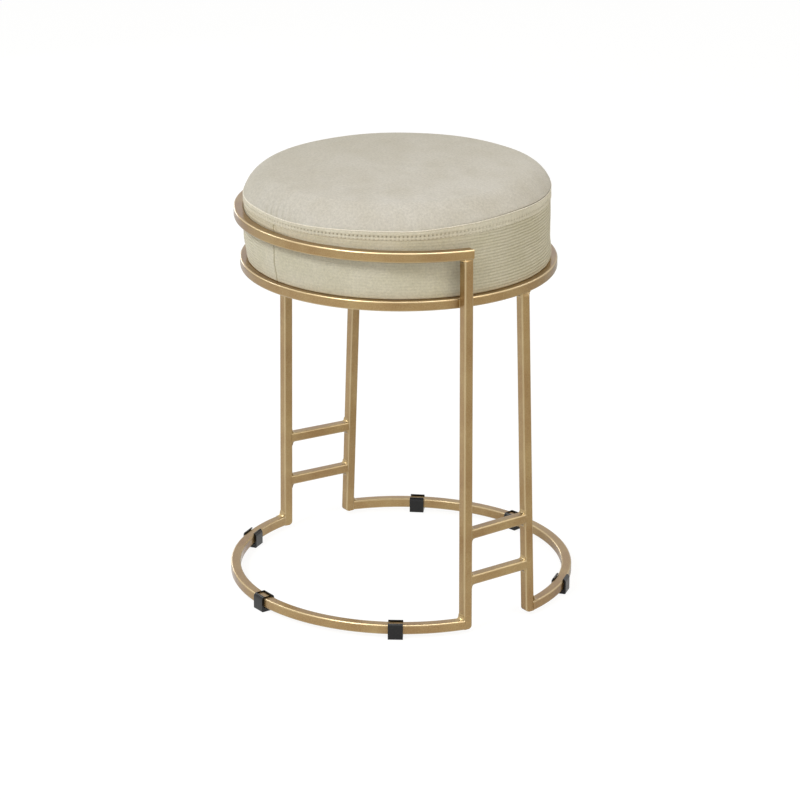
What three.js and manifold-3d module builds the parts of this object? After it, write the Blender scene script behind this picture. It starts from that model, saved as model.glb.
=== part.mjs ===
// Round upholstered vanity stool on a welded frame of slim square tube.
// Millimetres, +Z up. The origin is on the floor, under the centre of the base ring.
// The front is -Y, where the upper rail wraps the cushion. Left is -X.
//
// The frame is two loops. The front loop is the front base arc, the two front legs and the
// cushion rail on top of them. The rear loop is the rear base arc and the two rear legs, and
// ends under the seat ring. Two short rungs tie each front leg to the rear leg beside it.
import * as THREE from 'three';
import { mergeVertices } from 'three/addons/utils/BufferGeometryUtils.js';
import Module from 'manifold-3d';

const wasm = await Module();
wasm.setup();

// Driving dimensions of the frame
const tubeSize = 11.5;
const tubeEdgeRadius = 1.6;
const baseOuterRadius = 200;
const legPairSpacing = 88;
const legSetback = 3.5;
const legFootRadius = 4;
const rungHeights = { lower: 57, upper: 112 };
const seatRingHeight = 380.5;
const seatForward = 5;
const rearLegInset = 4.5;
const railRise = 46.3;
const railClearance = 0.3;

// Driving dimensions of the cushion
const cushionRadius = 173;
const cushionSideHeight = 73.2;
const crownHeight = 32;
const crownDrop = 4;
const edgeRollWidth = 28;
const edgeRollFullness = 0.55;
const coverThickness = 1.4;
const sideBulge = 0.8;
const hemTuck = 0.9;
const weltHeight = 8.5;
const weltThickness = 0.8;

// Seat board and what holds it down
const boardClearance = 0.6;
const boardThickness = 12;
const dustCoverMargin = 1.5;
const dustCoverThickness = 0.8;
const tabCount = 4;
const tabWidth = 20;
const tabThickness = 3;
const tabHoleInset = 15;
const screwRadius = 3;
const screwHeadRadius = 6;
const screwHeadHeight = 3.4;
const screwHoleClearance = 0.4;
const nutFlangeRadius = 9.5;
const nutFlangeThickness = 1.5;
const nutBarrelRadius = 4.2;
const nutBarrelLength = 9;

// Foot clips, with their places as degrees from the middle of the arc that carries them
const clipPad = 5;
const clipWall = 2.4;
const clipLength = 17;
const clipSideClearance = 0.5;
const clipLipReach = 1.4;
const clipLipThickness = 1.6;
const clipCornerRadius = 1.4;
const frontClipAngles = [-58, 2, 54];
const rearClipAngles = [50, 11, -52];

// Clearance between pieces that are welded or laid together
const seatGap = 0.3;
// Overrun of every cut past the piece it cuts
const overrun = 5;

// Fineness of round forms
const hoopSegments = 72;
const cushionSegments = 64;
const smallSegments = 16;
const cornerSteps = 2;
const crownSteps = 5;
const edgeRollSteps = 6;
const sideSteps = 4;
const mergeTolerance = 1e-4;

// Places worked out from the sizes above
const tubeHalf = tubeSize / 2;
const tubeUnderside = clipPad + seatGap;
const baseRadius = baseOuterRadius - tubeHalf;
const legHalfSpacing = legPairSpacing / 2;
const frontLegY = legSetback - legHalfSpacing;
const rearLegY = legSetback + legHalfSpacing;
const seatCentreY = -seatForward;
const seatRingTop = seatRingHeight + tubeSize;
const railHeight = seatRingTop + railRise;

// Half the width of a circle at a given distance from its centre line.
const halfChord = (radius, offset) => Math.sqrt(radius ** 2 - offset ** 2);

// Each leg stands where the centre line of its base arc meets the side of the leg.
const frontFootX = halfChord(baseRadius, frontLegY - tubeHalf);
const rearFootX = halfChord(baseRadius, rearLegY + tubeHalf);

// The cushion rail is bent to lie against the front of the cushion.
const weltOuterRadius = cushionRadius + seatGap + weltThickness;
const cushionWidestRadius = Math.max(weltOuterRadius, cushionRadius + sideBulge);
const railInnerRadius = cushionWidestRadius + seatForward + legSetback + railClearance;
const railRadius = railInnerRadius + tubeHalf;

// The front legs lean in until the rail runs on over their tops.
const frontTopX = halfChord(railRadius, legHalfSpacing);
const frontLean = (frontFootX - frontTopX) / (railHeight - tubeUnderside);

// The seat ring is as wide as fits between the front legs, which pass close outside it.
const frontRingX = frontFootX - frontLean * (seatRingTop - tubeUnderside);
const ringReachX = frontRingX - tubeHalf - seatGap;
const frontLegNearY = frontLegY + tubeHalf;
const seatRingOuterRadius = Math.hypot(ringReachX, frontLegNearY - seatCentreY);
const seatRingRadius = seatRingOuterRadius - tubeHalf;
const seatRingInnerRadius = seatRingOuterRadius - tubeSize;

// The rear legs lean in until they stand under the outer half of the seat ring.
const rearTopX = halfChord(seatRingOuterRadius - rearLegInset, rearLegY - seatCentreY);
const rearLean = (rearFootX - rearTopX) / (seatRingHeight - tubeUnderside);

// Levels of the seat, from the ring upward
const boardBottom = seatRingTop + seatGap;
const boardTop = boardBottom + boardThickness;
const boardRadius = cushionRadius - coverThickness - boardClearance;
const dustCoverRadius = seatRingInnerRadius - dustCoverMargin;
const seamHeight = boardBottom + cushionSideHeight;
const cushionTop = seamHeight + crownHeight;
const dustCoverBottom = seatRingTop - dustCoverThickness;
const tabTop = dustCoverBottom - seatGap;
const tabBottom = tabTop - tabThickness;
const tabHoleRadius = seatRingInnerRadius - tabHoleInset;
const screwHoleRadius = screwRadius + screwHoleClearance;

// Finishes
const champagnePowderCoat = () => new THREE.MeshStandardMaterial({
  color: 0xa88a5c,
  roughness: 0.42,
  metalness: 0.75,
});
const creamFabric = () => new THREE.MeshStandardMaterial({ color: 0xcdc8b8, roughness: 0.92, metalness: 0 });
const blackPlastic = () => new THREE.MeshStandardMaterial({ color: 0x161616, roughness: 0.45, metalness: 0 });
const plywood = () => new THREE.MeshStandardMaterial({ color: 0xb98f5f, roughness: 0.75, metalness: 0 });
const foam = () => new THREE.MeshStandardMaterial({ color: 0xe9dfae, roughness: 0.95, metalness: 0 });
const blackCloth = () => new THREE.MeshStandardMaterial({ color: 0x1d1d1f, roughness: 0.95, metalness: 0 });
const zincPlate = () => new THREE.MeshStandardMaterial({ color: 0xb4b6b8, roughness: 0.35, metalness: 1 });

// A closed three.js shape as a solid that can be joined and cut.
function toSolid(geometry) {
  const bare = new THREE.BufferGeometry();
  bare.setAttribute('position', geometry.getAttribute('position'));
  bare.setIndex(geometry.getIndex());
  const merged = mergeVertices(bare, mergeTolerance);
  const corners = merged.getIndex().array;
  const kept = [];
  for (let i = 0; i < corners.length; i += 3) {
    const [a, b, c] = corners.subarray(i, i + 3);
    if (a !== b && b !== c && c !== a) {
      kept.push(a, b, c);
    }
  }
  const vertProperties = new Float32Array(merged.getAttribute('position').array);
  return new wasm.Manifold(new wasm.Mesh({ numProp: 3, vertProperties, triVerts: new Uint32Array(kept) }));
}

// A solid back as a three.js geometry with flat faces.
function toGeometry(solid) {
  const mesh = solid.getMesh();
  const shared = new THREE.BufferGeometry();
  shared.setAttribute('position', new THREE.BufferAttribute(mesh.vertProperties, mesh.numProp));
  shared.setIndex(new THREE.BufferAttribute(mesh.triVerts, 1));
  const flat = shared.toNonIndexed();
  flat.computeVertexNormals();
  return flat;
}

// Points of a rectangle with rounded corners about (0, 0), counterclockwise, not closed.
function roundedOutline(width, height, radius) {
  const points = [];
  const corners = [[1, -1], [1, 1], [-1, 1], [-1, -1]];
  corners.forEach(([sideX, sideY], quarter) => {
    const centreX = sideX * (width / 2 - radius);
    const centreY = sideY * (height / 2 - radius);
    for (let step = 0; step <= cornerSteps; step += 1) {
      const angle = (Math.PI / 2) * (quarter - 1 + step / cornerSteps);
      points.push(new THREE.Vector2(
        centreX + radius * Math.cos(angle),
        centreY + radius * Math.sin(angle),
      ));
    }
  });
  return points;
}

const tubeOutline = roundedOutline(tubeSize, tubeSize, tubeEdgeRadius);

// A profile of (radius, height) points turned about the Z axis.
function turned(points, segments) {
  return new THREE.LatheGeometry(points, segments).rotateX(Math.PI / 2);
}

// A full hoop of the square tube, lying flat with its underside at the given height.
function tubeHoop(centreRadius, underside) {
  const centre = new THREE.Vector2(centreRadius, underside + tubeHalf);
  const points = [...tubeOutline, tubeOutline[0]].map((point) => point.clone().add(centre));
  return turned(points, hoopSegments);
}

// A block that holds everything on one side of a level Y plane, cut to a hoop's size.
function sideBlock(radius, planeY, side, underside) {
  const reach = 2 * (radius + overrun);
  const height = tubeSize + 2 * overrun;
  const block = new THREE.BoxGeometry(reach, reach, height);
  return block.translate(0, planeY + side * (reach / 2), underside + tubeHalf);
}

// The stretch of a hoop that lies beyond a Y plane, its ends cut square to the legs.
function tubeArc(centreRadius, planeY, side, underside) {
  const hoop = toSolid(tubeHoop(centreRadius, underside));
  const block = toSolid(sideBlock(centreRadius + tubeHalf, planeY, side, underside));
  return toGeometry(hoop.intersect(block));
}

// A named mesh in its place.
function piece(name, geometry, material, position = [0, 0, 0], turn = 0) {
  const mesh = new THREE.Mesh(geometry, material);
  mesh.name = name;
  mesh.position.set(...position);
  mesh.rotation.z = turn;
  return mesh;
}

// Side outline of a leg: square at the top, one bottom corner rounded as a bent tube's is.
function legSideOutline(length, roundedSide) {
  const outline = new THREE.Shape();
  outline.moveTo(-roundedSide * tubeHalf, 0);
  outline.lineTo(roundedSide * (tubeHalf - legFootRadius), 0);
  outline.quadraticCurveTo(roundedSide * tubeHalf, 0, roundedSide * tubeHalf, legFootRadius);
  outline.lineTo(roundedSide * tubeHalf, length);
  outline.lineTo(-roundedSide * tubeHalf, length);
  outline.closePath();
  return outline;
}

// A straight length of the square tube along Z, from z = 0.
function straightTube(length) {
  return new THREE.ExtrudeGeometry(new THREE.Shape(tubeOutline), {
    depth: length,
    bevelEnabled: false,
  });
}

// A leg about its foot: square tube that leans along X, with level ends.
function legGeometry(length, lean, roundedSide) {
  const tube = straightTube(length);
  const side = new THREE.ExtrudeGeometry(legSideOutline(length, roundedSide), {
    depth: tubeSize,
    bevelEnabled: false,
    curveSegments: cornerSteps + 1,
  });
  const acrossY = new THREE.Matrix4().makeBasis(
    new THREE.Vector3(0, 1, 0),
    new THREE.Vector3(0, 0, 1),
    new THREE.Vector3(1, 0, 0),
  );
  side.applyMatrix4(acrossY).translate(-tubeHalf, 0, 0);
  const leg = toGeometry(toSolid(tube).intersect(toSolid(side)));
  return leg.applyMatrix4(new THREE.Matrix4().makeShear(0, 0, 0, 0, lean, 0));
}

// A rung between the facing sides of a front leg and a rear leg, at one height.
function rungMesh(name, side, height) {
  const rise = height + tubeHalf - tubeUnderside;
  const frontX = frontFootX - frontLean * rise;
  const rearX = rearFootX - rearLean * rise;
  const length = legPairSpacing - tubeSize - 2 * seatGap;
  const slope = (side * (rearX - frontX)) / legPairSpacing;
  const tube = straightTube(length).translate(0, 0, -length / 2).rotateX(-Math.PI / 2);
  tube.applyMatrix4(new THREE.Matrix4().makeShear(0, 0, slope, 0, 0, 0));
  const middle = [(side * (frontX + rearX)) / 2, legSetback, height + tubeHalf];
  return piece(name, tube, champagnePowderCoat(), middle);
}

function buildBaseArcs() {
  const arcs = new THREE.Group();
  const frontEnd = frontLegY - tubeHalf - seatGap;
  const rearEnd = rearLegY + tubeHalf + seatGap;
  const front = tubeArc(baseRadius, frontEnd, -1, tubeUnderside);
  const rear = tubeArc(baseRadius, rearEnd, 1, tubeUnderside);
  arcs.add(piece('base_arc_front', front, champagnePowderCoat()));
  arcs.add(piece('base_arc_rear', rear, champagnePowderCoat()));
  return arcs;
}

function buildLegs() {
  const legs = new THREE.Group();
  const frontLength = railHeight - seatGap - tubeUnderside;
  const rearLength = seatRingHeight - seatGap - tubeUnderside;
  for (const [word, side] of [['left', -1], ['right', 1]]) {
    const front = legGeometry(frontLength, -side * frontLean, 1);
    const rear = legGeometry(rearLength, -side * rearLean, -1);
    const frontFoot = [side * frontFootX, frontLegY, tubeUnderside];
    const rearFoot = [side * rearFootX, rearLegY, tubeUnderside];
    legs.add(piece(`front_leg_${word}`, front, champagnePowderCoat(), frontFoot));
    legs.add(piece(`rear_leg_${word}`, rear, champagnePowderCoat(), rearFoot));
  }
  return legs;
}

function buildRungs() {
  const rungs = new THREE.Group();
  for (const [word, side] of [['left', -1], ['right', 1]]) {
    for (const [level, height] of Object.entries(rungHeights)) {
      rungs.add(rungMesh(`rung_${word}_${level}`, side, height));
    }
  }
  return rungs;
}

// The seat ring is a closed hoop, and the rail ends flush with the inner sides of the leg pairs.
function buildRingAndRail() {
  const hoops = new THREE.Group();
  const ring = tubeHoop(seatRingRadius, seatRingHeight);
  const railEnd = tubeHalf - legHalfSpacing;
  const rail = tubeArc(railRadius, railEnd, -1, railHeight);
  hoops.add(piece('seat_ring', ring, champagnePowderCoat(), [0, seatCentreY, 0]));
  hoops.add(piece('cushion_rail', rail, champagnePowderCoat(), [0, legSetback, 0]));
  return hoops;
}

// Section of a foot clip: a pad, two walls and a lip on each wall that snaps over the tube.
function clipOutline() {
  const halfInside = tubeHalf + clipSideClearance;
  const halfOutside = halfInside + clipWall;
  const lipBottom = tubeUnderside + tubeSize + seatGap;
  const top = lipBottom + clipLipThickness;
  const lipEnd = halfInside - clipLipReach;
  const bend = clipCornerRadius;
  const outline = new THREE.Shape();
  outline.moveTo(bend - halfOutside, 0);
  outline.lineTo(halfOutside - bend, 0);
  outline.quadraticCurveTo(halfOutside, 0, halfOutside, bend);
  outline.lineTo(halfOutside, top - bend);
  outline.quadraticCurveTo(halfOutside, top, halfOutside - bend, top);
  outline.lineTo(lipEnd, top);
  outline.lineTo(lipEnd, lipBottom);
  outline.lineTo(halfInside, lipBottom);
  outline.lineTo(halfInside, clipPad);
  outline.lineTo(-halfInside, clipPad);
  outline.lineTo(-halfInside, lipBottom);
  outline.lineTo(-lipEnd, lipBottom);
  outline.lineTo(-lipEnd, top);
  outline.lineTo(bend - halfOutside, top);
  outline.quadraticCurveTo(-halfOutside, top, -halfOutside, top - bend);
  outline.lineTo(-halfOutside, bend);
  outline.quadraticCurveTo(-halfOutside, 0, bend - halfOutside, 0);
  return outline;
}

function clipGeometry() {
  const clip = new THREE.ExtrudeGeometry(clipOutline(), {
    depth: clipLength,
    bevelEnabled: false,
    curveSegments: cornerSteps,
  });
  const alongTube = new THREE.Matrix4().makeBasis(
    new THREE.Vector3(1, 0, 0),
    new THREE.Vector3(0, 0, 1),
    new THREE.Vector3(0, -1, 0),
  );
  return clip.translate(0, 0, -clipLength / 2).applyMatrix4(alongTube);
}

function buildFootClips() {
  const clips = new THREE.Group();
  const frontTurns = frontClipAngles.map((angle) => THREE.MathUtils.degToRad(angle) - Math.PI / 2);
  const rearTurns = rearClipAngles.map((angle) => THREE.MathUtils.degToRad(angle) + Math.PI / 2);
  [...frontTurns, ...rearTurns].forEach((turn, index) => {
    const place = [baseRadius * Math.cos(turn), baseRadius * Math.sin(turn), 0];
    clips.add(piece(`foot_clip_${index + 1}`, clipGeometry(), blackPlastic(), place, turn));
  });
  return clips;
}

// Angles of the tabs and screws about the seat's centre
const tabAngles = Array.from({ length: tabCount }, (_, index) => (2 * Math.PI * index) / tabCount);

// A point on the circle of the seat screws
const screwPlace = (angle, height) => [
  tabHoleRadius * Math.cos(angle),
  tabHoleRadius * Math.sin(angle),
  height,
];

// A round bar about Z, from one height to another.
function roundBar(radius, bottom, top, segments) {
  const bar = new THREE.CylinderGeometry(radius, radius, top - bottom, segments);
  return bar.rotateX(Math.PI / 2).translate(0, 0, (bottom + top) / 2);
}

// A flat tab with a round end and a hole, its outer end curved to the inside of the ring.
function tabGeometry() {
  const halfWidth = tabWidth / 2;
  const outline = new THREE.Shape();
  outline.moveTo(seatRingInnerRadius + overrun, halfWidth);
  outline.lineTo(tabHoleRadius, halfWidth);
  outline.absarc(tabHoleRadius, 0, halfWidth, Math.PI / 2, (3 * Math.PI) / 2, false);
  outline.lineTo(seatRingInnerRadius + overrun, -halfWidth);
  outline.closePath();
  const hole = new THREE.Path().absarc(tabHoleRadius, 0, screwHoleRadius, 0, 2 * Math.PI, true);
  outline.holes.push(hole);
  const plate = new THREE.ExtrudeGeometry(outline, {
    depth: tabThickness,
    bevelEnabled: false,
    curveSegments: smallSegments / 2,
  });
  const inside = roundBar(seatRingInnerRadius - seatGap, -overrun, tabThickness + overrun, hoopSegments);
  return toGeometry(toSolid(plate).intersect(toSolid(inside)));
}

// Plywood disc with a stepped hole over each tab for the nut that is pressed into it.
function boardGeometry() {
  let board = toSolid(roundBar(boardRadius, boardBottom, boardTop, cushionSegments));
  const flangeSeat = boardTop - nutFlangeThickness - seatGap;
  const [below, above] = [boardBottom - overrun, boardTop + overrun];
  for (const angle of tabAngles) {
    const place = screwPlace(angle, 0);
    const barrelHole = roundBar(nutBarrelRadius + seatGap, below, above, smallSegments);
    const flangeHole = roundBar(nutFlangeRadius + seatGap, flangeSeat, above, smallSegments);
    board = board.subtract(toSolid(barrelHole.translate(...place)));
    board = board.subtract(toSolid(flangeHole.translate(...place)));
  }
  return toGeometry(board);
}

// Thin round sheet under the board, with a hole for each screw.
function dustCoverGeometry() {
  const sheet = new THREE.Shape().absarc(0, 0, dustCoverRadius, 0, 2 * Math.PI, false);
  for (const angle of tabAngles) {
    const [x, y] = screwPlace(angle, 0);
    sheet.holes.push(new THREE.Path().absarc(x, y, screwHoleRadius, 0, 2 * Math.PI, true));
  }
  return new THREE.ExtrudeGeometry(sheet, {
    depth: dustCoverThickness,
    bevelEnabled: false,
    curveSegments: smallSegments,
  });
}

// Screw about its axis, with a domed head below z = 0 and the shank above it.
function screwGeometry(shankLength) {
  const domeShoulder = screwHeadHeight / 2;
  const points = [
    new THREE.Vector2(0, -screwHeadHeight),
    new THREE.Vector2(screwHeadRadius - domeShoulder, -screwHeadHeight),
    new THREE.Vector2(screwHeadRadius, -domeShoulder),
    new THREE.Vector2(screwHeadRadius, 0),
    new THREE.Vector2(screwRadius, 0),
    new THREE.Vector2(screwRadius, shankLength),
    new THREE.Vector2(0, shankLength),
  ];
  return turned(points, smallSegments);
}

// Pressed nut about its axis: a flange above z = 0 and a hollow barrel below it.
function nutGeometry() {
  const bore = screwRadius + seatGap;
  const points = [
    new THREE.Vector2(bore, -nutBarrelLength),
    new THREE.Vector2(nutBarrelRadius, -nutBarrelLength),
    new THREE.Vector2(nutBarrelRadius, 0),
    new THREE.Vector2(nutFlangeRadius, 0),
    new THREE.Vector2(nutFlangeRadius, nutFlangeThickness),
    new THREE.Vector2(bore, nutFlangeThickness),
  ];
  return turned([...points, points[0]], smallSegments);
}

function buildSeatFixings() {
  const fixings = new THREE.Group();
  fixings.position.y = seatCentreY;
  const nutSeat = boardTop - nutFlangeThickness;
  const screwSeat = tabBottom - seatGap;
  const shankLength = nutSeat - screwSeat;
  tabAngles.forEach((angle, index) => {
    const number = index + 1;
    const tab = piece(`seat_tab_${number}`, tabGeometry(), champagnePowderCoat(), [0, 0, tabBottom], angle);
    const screw = piece(`seat_screw_${number}`, screwGeometry(shankLength), zincPlate());
    const nut = piece(`t_nut_${number}`, nutGeometry(), zincPlate());
    screw.position.set(...screwPlace(angle, screwSeat));
    nut.position.set(...screwPlace(angle, nutSeat));
    fixings.add(tab, screw, nut);
  });
  fixings.add(piece('seat_board', boardGeometry(), plywood()));
  fixings.add(piece('dust_cover', dustCoverGeometry(), blackCloth(), [0, 0, dustCoverBottom]));
  return fixings;
}

// Crown of the cushion as (radius, height) points, from the seam over the rolled edge to the
// centre. The inset moves it in and down, for the underside of the cover and for the foam.
function crownPoints(inset) {
  const rimRadius = cushionRadius - inset;
  const centreHeight = cushionTop - inset;
  const shoulderRadius = cushionRadius - edgeRollWidth;
  const shoulderHeight = centreHeight - crownDrop;
  const edgeRise = shoulderHeight - seamHeight;
  const edgeRun = rimRadius - shoulderRadius;
  const edgeRoll = new THREE.CubicBezierCurve(
    new THREE.Vector2(rimRadius, seamHeight),
    new THREE.Vector2(rimRadius, seamHeight + edgeRise * edgeRollFullness),
    new THREE.Vector2(shoulderRadius + edgeRun * edgeRollFullness, shoulderHeight),
    new THREE.Vector2(shoulderRadius, shoulderHeight),
  );
  const crown = new THREE.QuadraticBezierCurve(
    new THREE.Vector2(shoulderRadius, shoulderHeight),
    new THREE.Vector2(shoulderRadius / 2, centreHeight),
    new THREE.Vector2(0, centreHeight),
  );
  return [...edgeRoll.getPoints(edgeRollSteps), ...crown.getPoints(crownSteps).slice(1)];
}

function topCoverGeometry() {
  const outside = crownPoints(0);
  const inside = crownPoints(coverThickness).reverse();
  return turned([...inside, ...outside], cushionSegments);
}

function foamGeometry() {
  const inset = coverThickness + seatGap;
  const bottom = boardTop + seatGap;
  const rimRadius = cushionRadius - inset;
  const base = [new THREE.Vector2(0, bottom), new THREE.Vector2(rimRadius, bottom)];
  return turned([...base, ...crownPoints(inset)], cushionSegments);
}

// Side of the cover: a band that is drawn in at its two sewn edges and bulges between them.
function sideBandGeometry() {
  const top = seamHeight - seatGap;
  const middle = (boardBottom + top) / 2;
  const face = new THREE.QuadraticBezierCurve(
    new THREE.Vector2(cushionRadius - hemTuck, boardBottom),
    new THREE.Vector2(cushionRadius + sideBulge, middle),
    new THREE.Vector2(cushionRadius, top),
  );
  const innerRadius = cushionRadius - coverThickness;
  const inside = [new THREE.Vector2(innerRadius, top), new THREE.Vector2(innerRadius, boardBottom)];
  const points = [...face.getPoints(sideSteps), ...inside];
  return turned([...points, points[0]], cushionSegments);
}

// Topstitched welt under the edge of the top: a flat strip with two ridges and a sewn valley.
function weltGeometry() {
  const inner = cushionRadius + seatGap;
  const outer = weltOuterRadius;
  const valley = inner + weltThickness / 2;
  const top = seamHeight - seatGap;
  const levelShares = [0, 0.12, 0.38, 0.5, 0.62, 0.88, 1];
  const radii = [inner, outer, outer, valley, outer, outer, inner];
  const points = levelShares.map((share, index) => (
    new THREE.Vector2(radii[index], top - weltHeight * (1 - share))
  ));
  return turned([...points, points[0]], cushionSegments);
}

function buildCushion() {
  const cushion = new THREE.Group();
  cushion.position.y = seatCentreY;
  cushion.add(piece('foam_core', foamGeometry(), foam()));
  cushion.add(piece('side_band', sideBandGeometry(), creamFabric()));
  cushion.add(piece('seam_welt', weltGeometry(), creamFabric()));
  cushion.add(piece('top_cover', topCoverGeometry(), creamFabric()));
  return cushion;
}

const stool = new THREE.Group();
stool.add(buildBaseArcs());
stool.add(buildLegs());
stool.add(buildRungs());
stool.add(buildRingAndRail());
stool.add(buildFootClips());
stool.add(buildSeatFixings());
stool.add(buildCushion());

export default stool;
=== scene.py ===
"""Looks of a round upholstered vanity stool, dressed over its packed construction.

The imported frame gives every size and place. The tube frame, the cushion and the feet are made
again here as finer surfaces that stand where the construction's solids stand, and the pieces
inside the seat keep their solids and get their finishes. Lengths are in metres, +Z is up, and
the front of the stool, where the rail wraps the cushion, is -Y. Angles about Z start at +X.
"""

import logging
import math
from dataclasses import dataclass, field
from enum import Enum
from functools import cached_property

import bpy
import numpy as np
from mathutils import Matrix, Vector


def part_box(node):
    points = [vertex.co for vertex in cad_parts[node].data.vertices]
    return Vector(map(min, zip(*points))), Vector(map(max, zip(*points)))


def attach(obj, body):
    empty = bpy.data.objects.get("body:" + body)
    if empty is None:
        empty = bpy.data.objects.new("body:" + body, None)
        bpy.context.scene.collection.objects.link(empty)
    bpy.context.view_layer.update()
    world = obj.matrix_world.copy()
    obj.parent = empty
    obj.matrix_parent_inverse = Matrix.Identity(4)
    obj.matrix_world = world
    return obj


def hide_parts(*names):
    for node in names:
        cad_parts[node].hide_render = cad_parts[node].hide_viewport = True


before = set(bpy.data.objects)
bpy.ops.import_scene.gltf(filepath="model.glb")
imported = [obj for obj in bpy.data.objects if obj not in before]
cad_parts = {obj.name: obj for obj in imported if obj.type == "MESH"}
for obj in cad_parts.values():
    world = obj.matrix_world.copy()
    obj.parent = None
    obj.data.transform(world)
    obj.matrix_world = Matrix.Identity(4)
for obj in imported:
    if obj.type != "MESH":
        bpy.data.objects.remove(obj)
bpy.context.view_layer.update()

BODY = "root"
MM = 0.001
SEED = 7
FULL_TURN = 2 * math.pi
UP = np.array([0, 0, 1.0])
# A distance that stands for no limit, since it is longer than the stool
UNLIMITED = 1.0
SIDES = ("left", "right")
# Edges of cloth and thread stay smooth up to this many degrees
CLOTH_SHARP = 80
LOG = logging.getLogger("vanity_stool")

# Points, one in each row, and the corner numbers of each face
Solid = tuple[np.ndarray, list[list[int]]]
# What a node's input takes
Value = bpy.types.NodeSocket | float


class Slot(Enum):
    """Material slots of the record, one for each kind of new piece."""

    FRAME = "frame_tube"
    TOP = "top_fabric"
    SIDE = "side_fabric"
    FOAM = "foam"
    CLIP = "black_plastic"
    ZINC = "zinc_steel"


class FullSide(Enum):
    """Side of a tube's end, along its section's second axis, on which its weld is full."""

    MINUS = -1
    BOTH = 0
    PLUS = 1


def corners(node: str) -> tuple[np.ndarray, np.ndarray]:
    """Returns the lowest and the highest corner of a construction node, as arrays."""
    low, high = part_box(node)
    return np.array(low), np.array(high)


def linear(hex_colour: str) -> tuple[float, float, float, float]:
    """Turns an sRGB hex colour into linear light.

    Args:
        hex_colour: Six hex digits with a leading hash.

    Returns:
        Red, green, blue and an alpha of one.
    """
    levels = np.array([int(hex_colour[i:i + 2], 16) for i in (1, 3, 5)]) / 255
    light = np.where(levels <= 0.04045, levels / 12.92, ((levels + 0.055) / 1.055) ** 2.4)
    return (*light.tolist(), 1.0)


def circle(steps: int) -> np.ndarray:
    """Returns evenly spaced angles round a full turn, from zero on."""
    return np.linspace(0, FULL_TURN, steps, endpoint=False)


def quarter(steps: int) -> np.ndarray:
    """Returns evenly spaced angles from zero to a right angle, both included."""
    return np.linspace(0, math.pi / 2, steps)


def signed_turn(angle: np.ndarray) -> np.ndarray:
    """Brings angles to between minus and plus half a turn."""
    return (angle + math.pi) % FULL_TURN - math.pi


def bell(value: np.ndarray, width: float, power: float = 2) -> np.ndarray:
    """Returns e to the minus (value over width) to the power: one at zero, fading both ways."""
    return np.exp(-(np.abs(value / width) ** power))


def smooth_noise(
    values: np.ndarray, period: float, waves: int, seed: int, lowest: int = 2
) -> np.ndarray:
    """Smooth random curve that repeats after a period.

    The curve is a sum of sines with random heights and phases, whose wave counts run from the
    lowest to the lowest plus the number of waves, divided by the spread of the sum.

    Args:
        values: Places along the curve.
        period: Length after which the curve repeats.
        waves: How many sines are summed.
        seed: Seed of the random heights and phases.
        lowest: Waves per period of the slowest sine.

    Returns:
        The curve's heights, mostly between minus one and one.
    """
    draw = np.random.default_rng(seed)
    counts = lowest + np.arange(waves)
    heights = draw.normal(size=waves)
    phases = draw.uniform(0, FULL_TURN, size=waves)
    turns = FULL_TURN * values[..., None] * counts / period
    curve = (heights * np.sin(turns + phases)).sum(-1)
    return curve / (2 * np.sqrt((heights ** 2).sum() / 2))


def grid_solid(grid: np.ndarray, wrap_rows: bool = False) -> Solid:
    """Points and faces of a grid of rings, closed with a flat face at each end.

    Args:
        grid: Points as rows, columns and the three coordinates. Each row is a closed ring.
        wrap_rows: True if the last ring joins the first, so that there are no ends.

    Returns:
        The points, one in each row, and the faces.
    """
    rows, columns = grid.shape[:2]
    row = np.arange(rows if wrap_rows else rows - 1)[:, None] * columns
    next_row = (row + columns) % (rows * columns)
    here = np.arange(columns)[None, :]
    after = (here + 1) % columns
    quads = np.stack([row + here, row + after, next_row + after, next_row + here], -1)
    faces = quads.reshape(-1, 4).tolist()
    if not wrap_rows:
        faces.append(list(range(columns))[::-1])
        faces.append([(rows - 1) * columns + i for i in range(columns)])
    return grid.reshape(-1, 3), faces


def turned_outwards(solid: Solid) -> Solid:
    """Turns a closed surface's faces outwards.

    Each face is a fan of triangles, and a sixth of each triangle's triple product adds up to
    the volume inside, which is negative if the faces point inwards.

    Args:
        solid: Points and faces.

    Returns:
        The same points, and the faces turned if they had to be.
    """
    points, faces = solid
    fans = [(face[0], face[i], face[i + 1]) for face in faces for i in range(1, len(face) - 1)]
    a, b, c = ((points - points.mean(0))[index] for index in np.array(fans).T)
    volume = np.einsum("ij,ij->", a, np.cross(b, c)) / 6
    return points, faces if volume > 0 else [face[::-1] for face in faces]


def joined(solids: list[Solid]) -> Solid:
    """Gathers several solids as one.

    Args:
        solids: The solids.

    Returns:
        All their points and faces, each solid's turned outwards.
    """
    points, faces, start = [], [], 0
    for own_points, own_faces in map(turned_outwards, solids):
        faces += [[start + corner for corner in face] for face in own_faces]
        points.append(own_points)
        start += len(own_points)
    return np.concatenate(points), faces


def add_mesh(name: str, solid: Solid, sharp_degrees: float = 35) -> bpy.types.Object:
    """Puts a closed surface into the scene, with its faces turned outwards.

    Args:
        name: Name of the new object.
        solid: Points and faces.
        sharp_degrees: Edges that turn more than this stay sharp, and the rest are smooth.

    Returns:
        The new object, at the origin.
    """
    points, faces = turned_outwards(solid)
    mesh = bpy.data.meshes.new(name)
    mesh.from_pydata(points.tolist(), [], faces)
    mesh.polygons.foreach_set("use_smooth", np.ones(len(mesh.polygons), bool))
    mesh.set_sharp_from_angle(angle=math.radians(sharp_degrees))
    mesh.validate()
    new = bpy.data.objects.new(name, mesh)
    bpy.context.scene.collection.objects.link(new)
    return new


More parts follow.
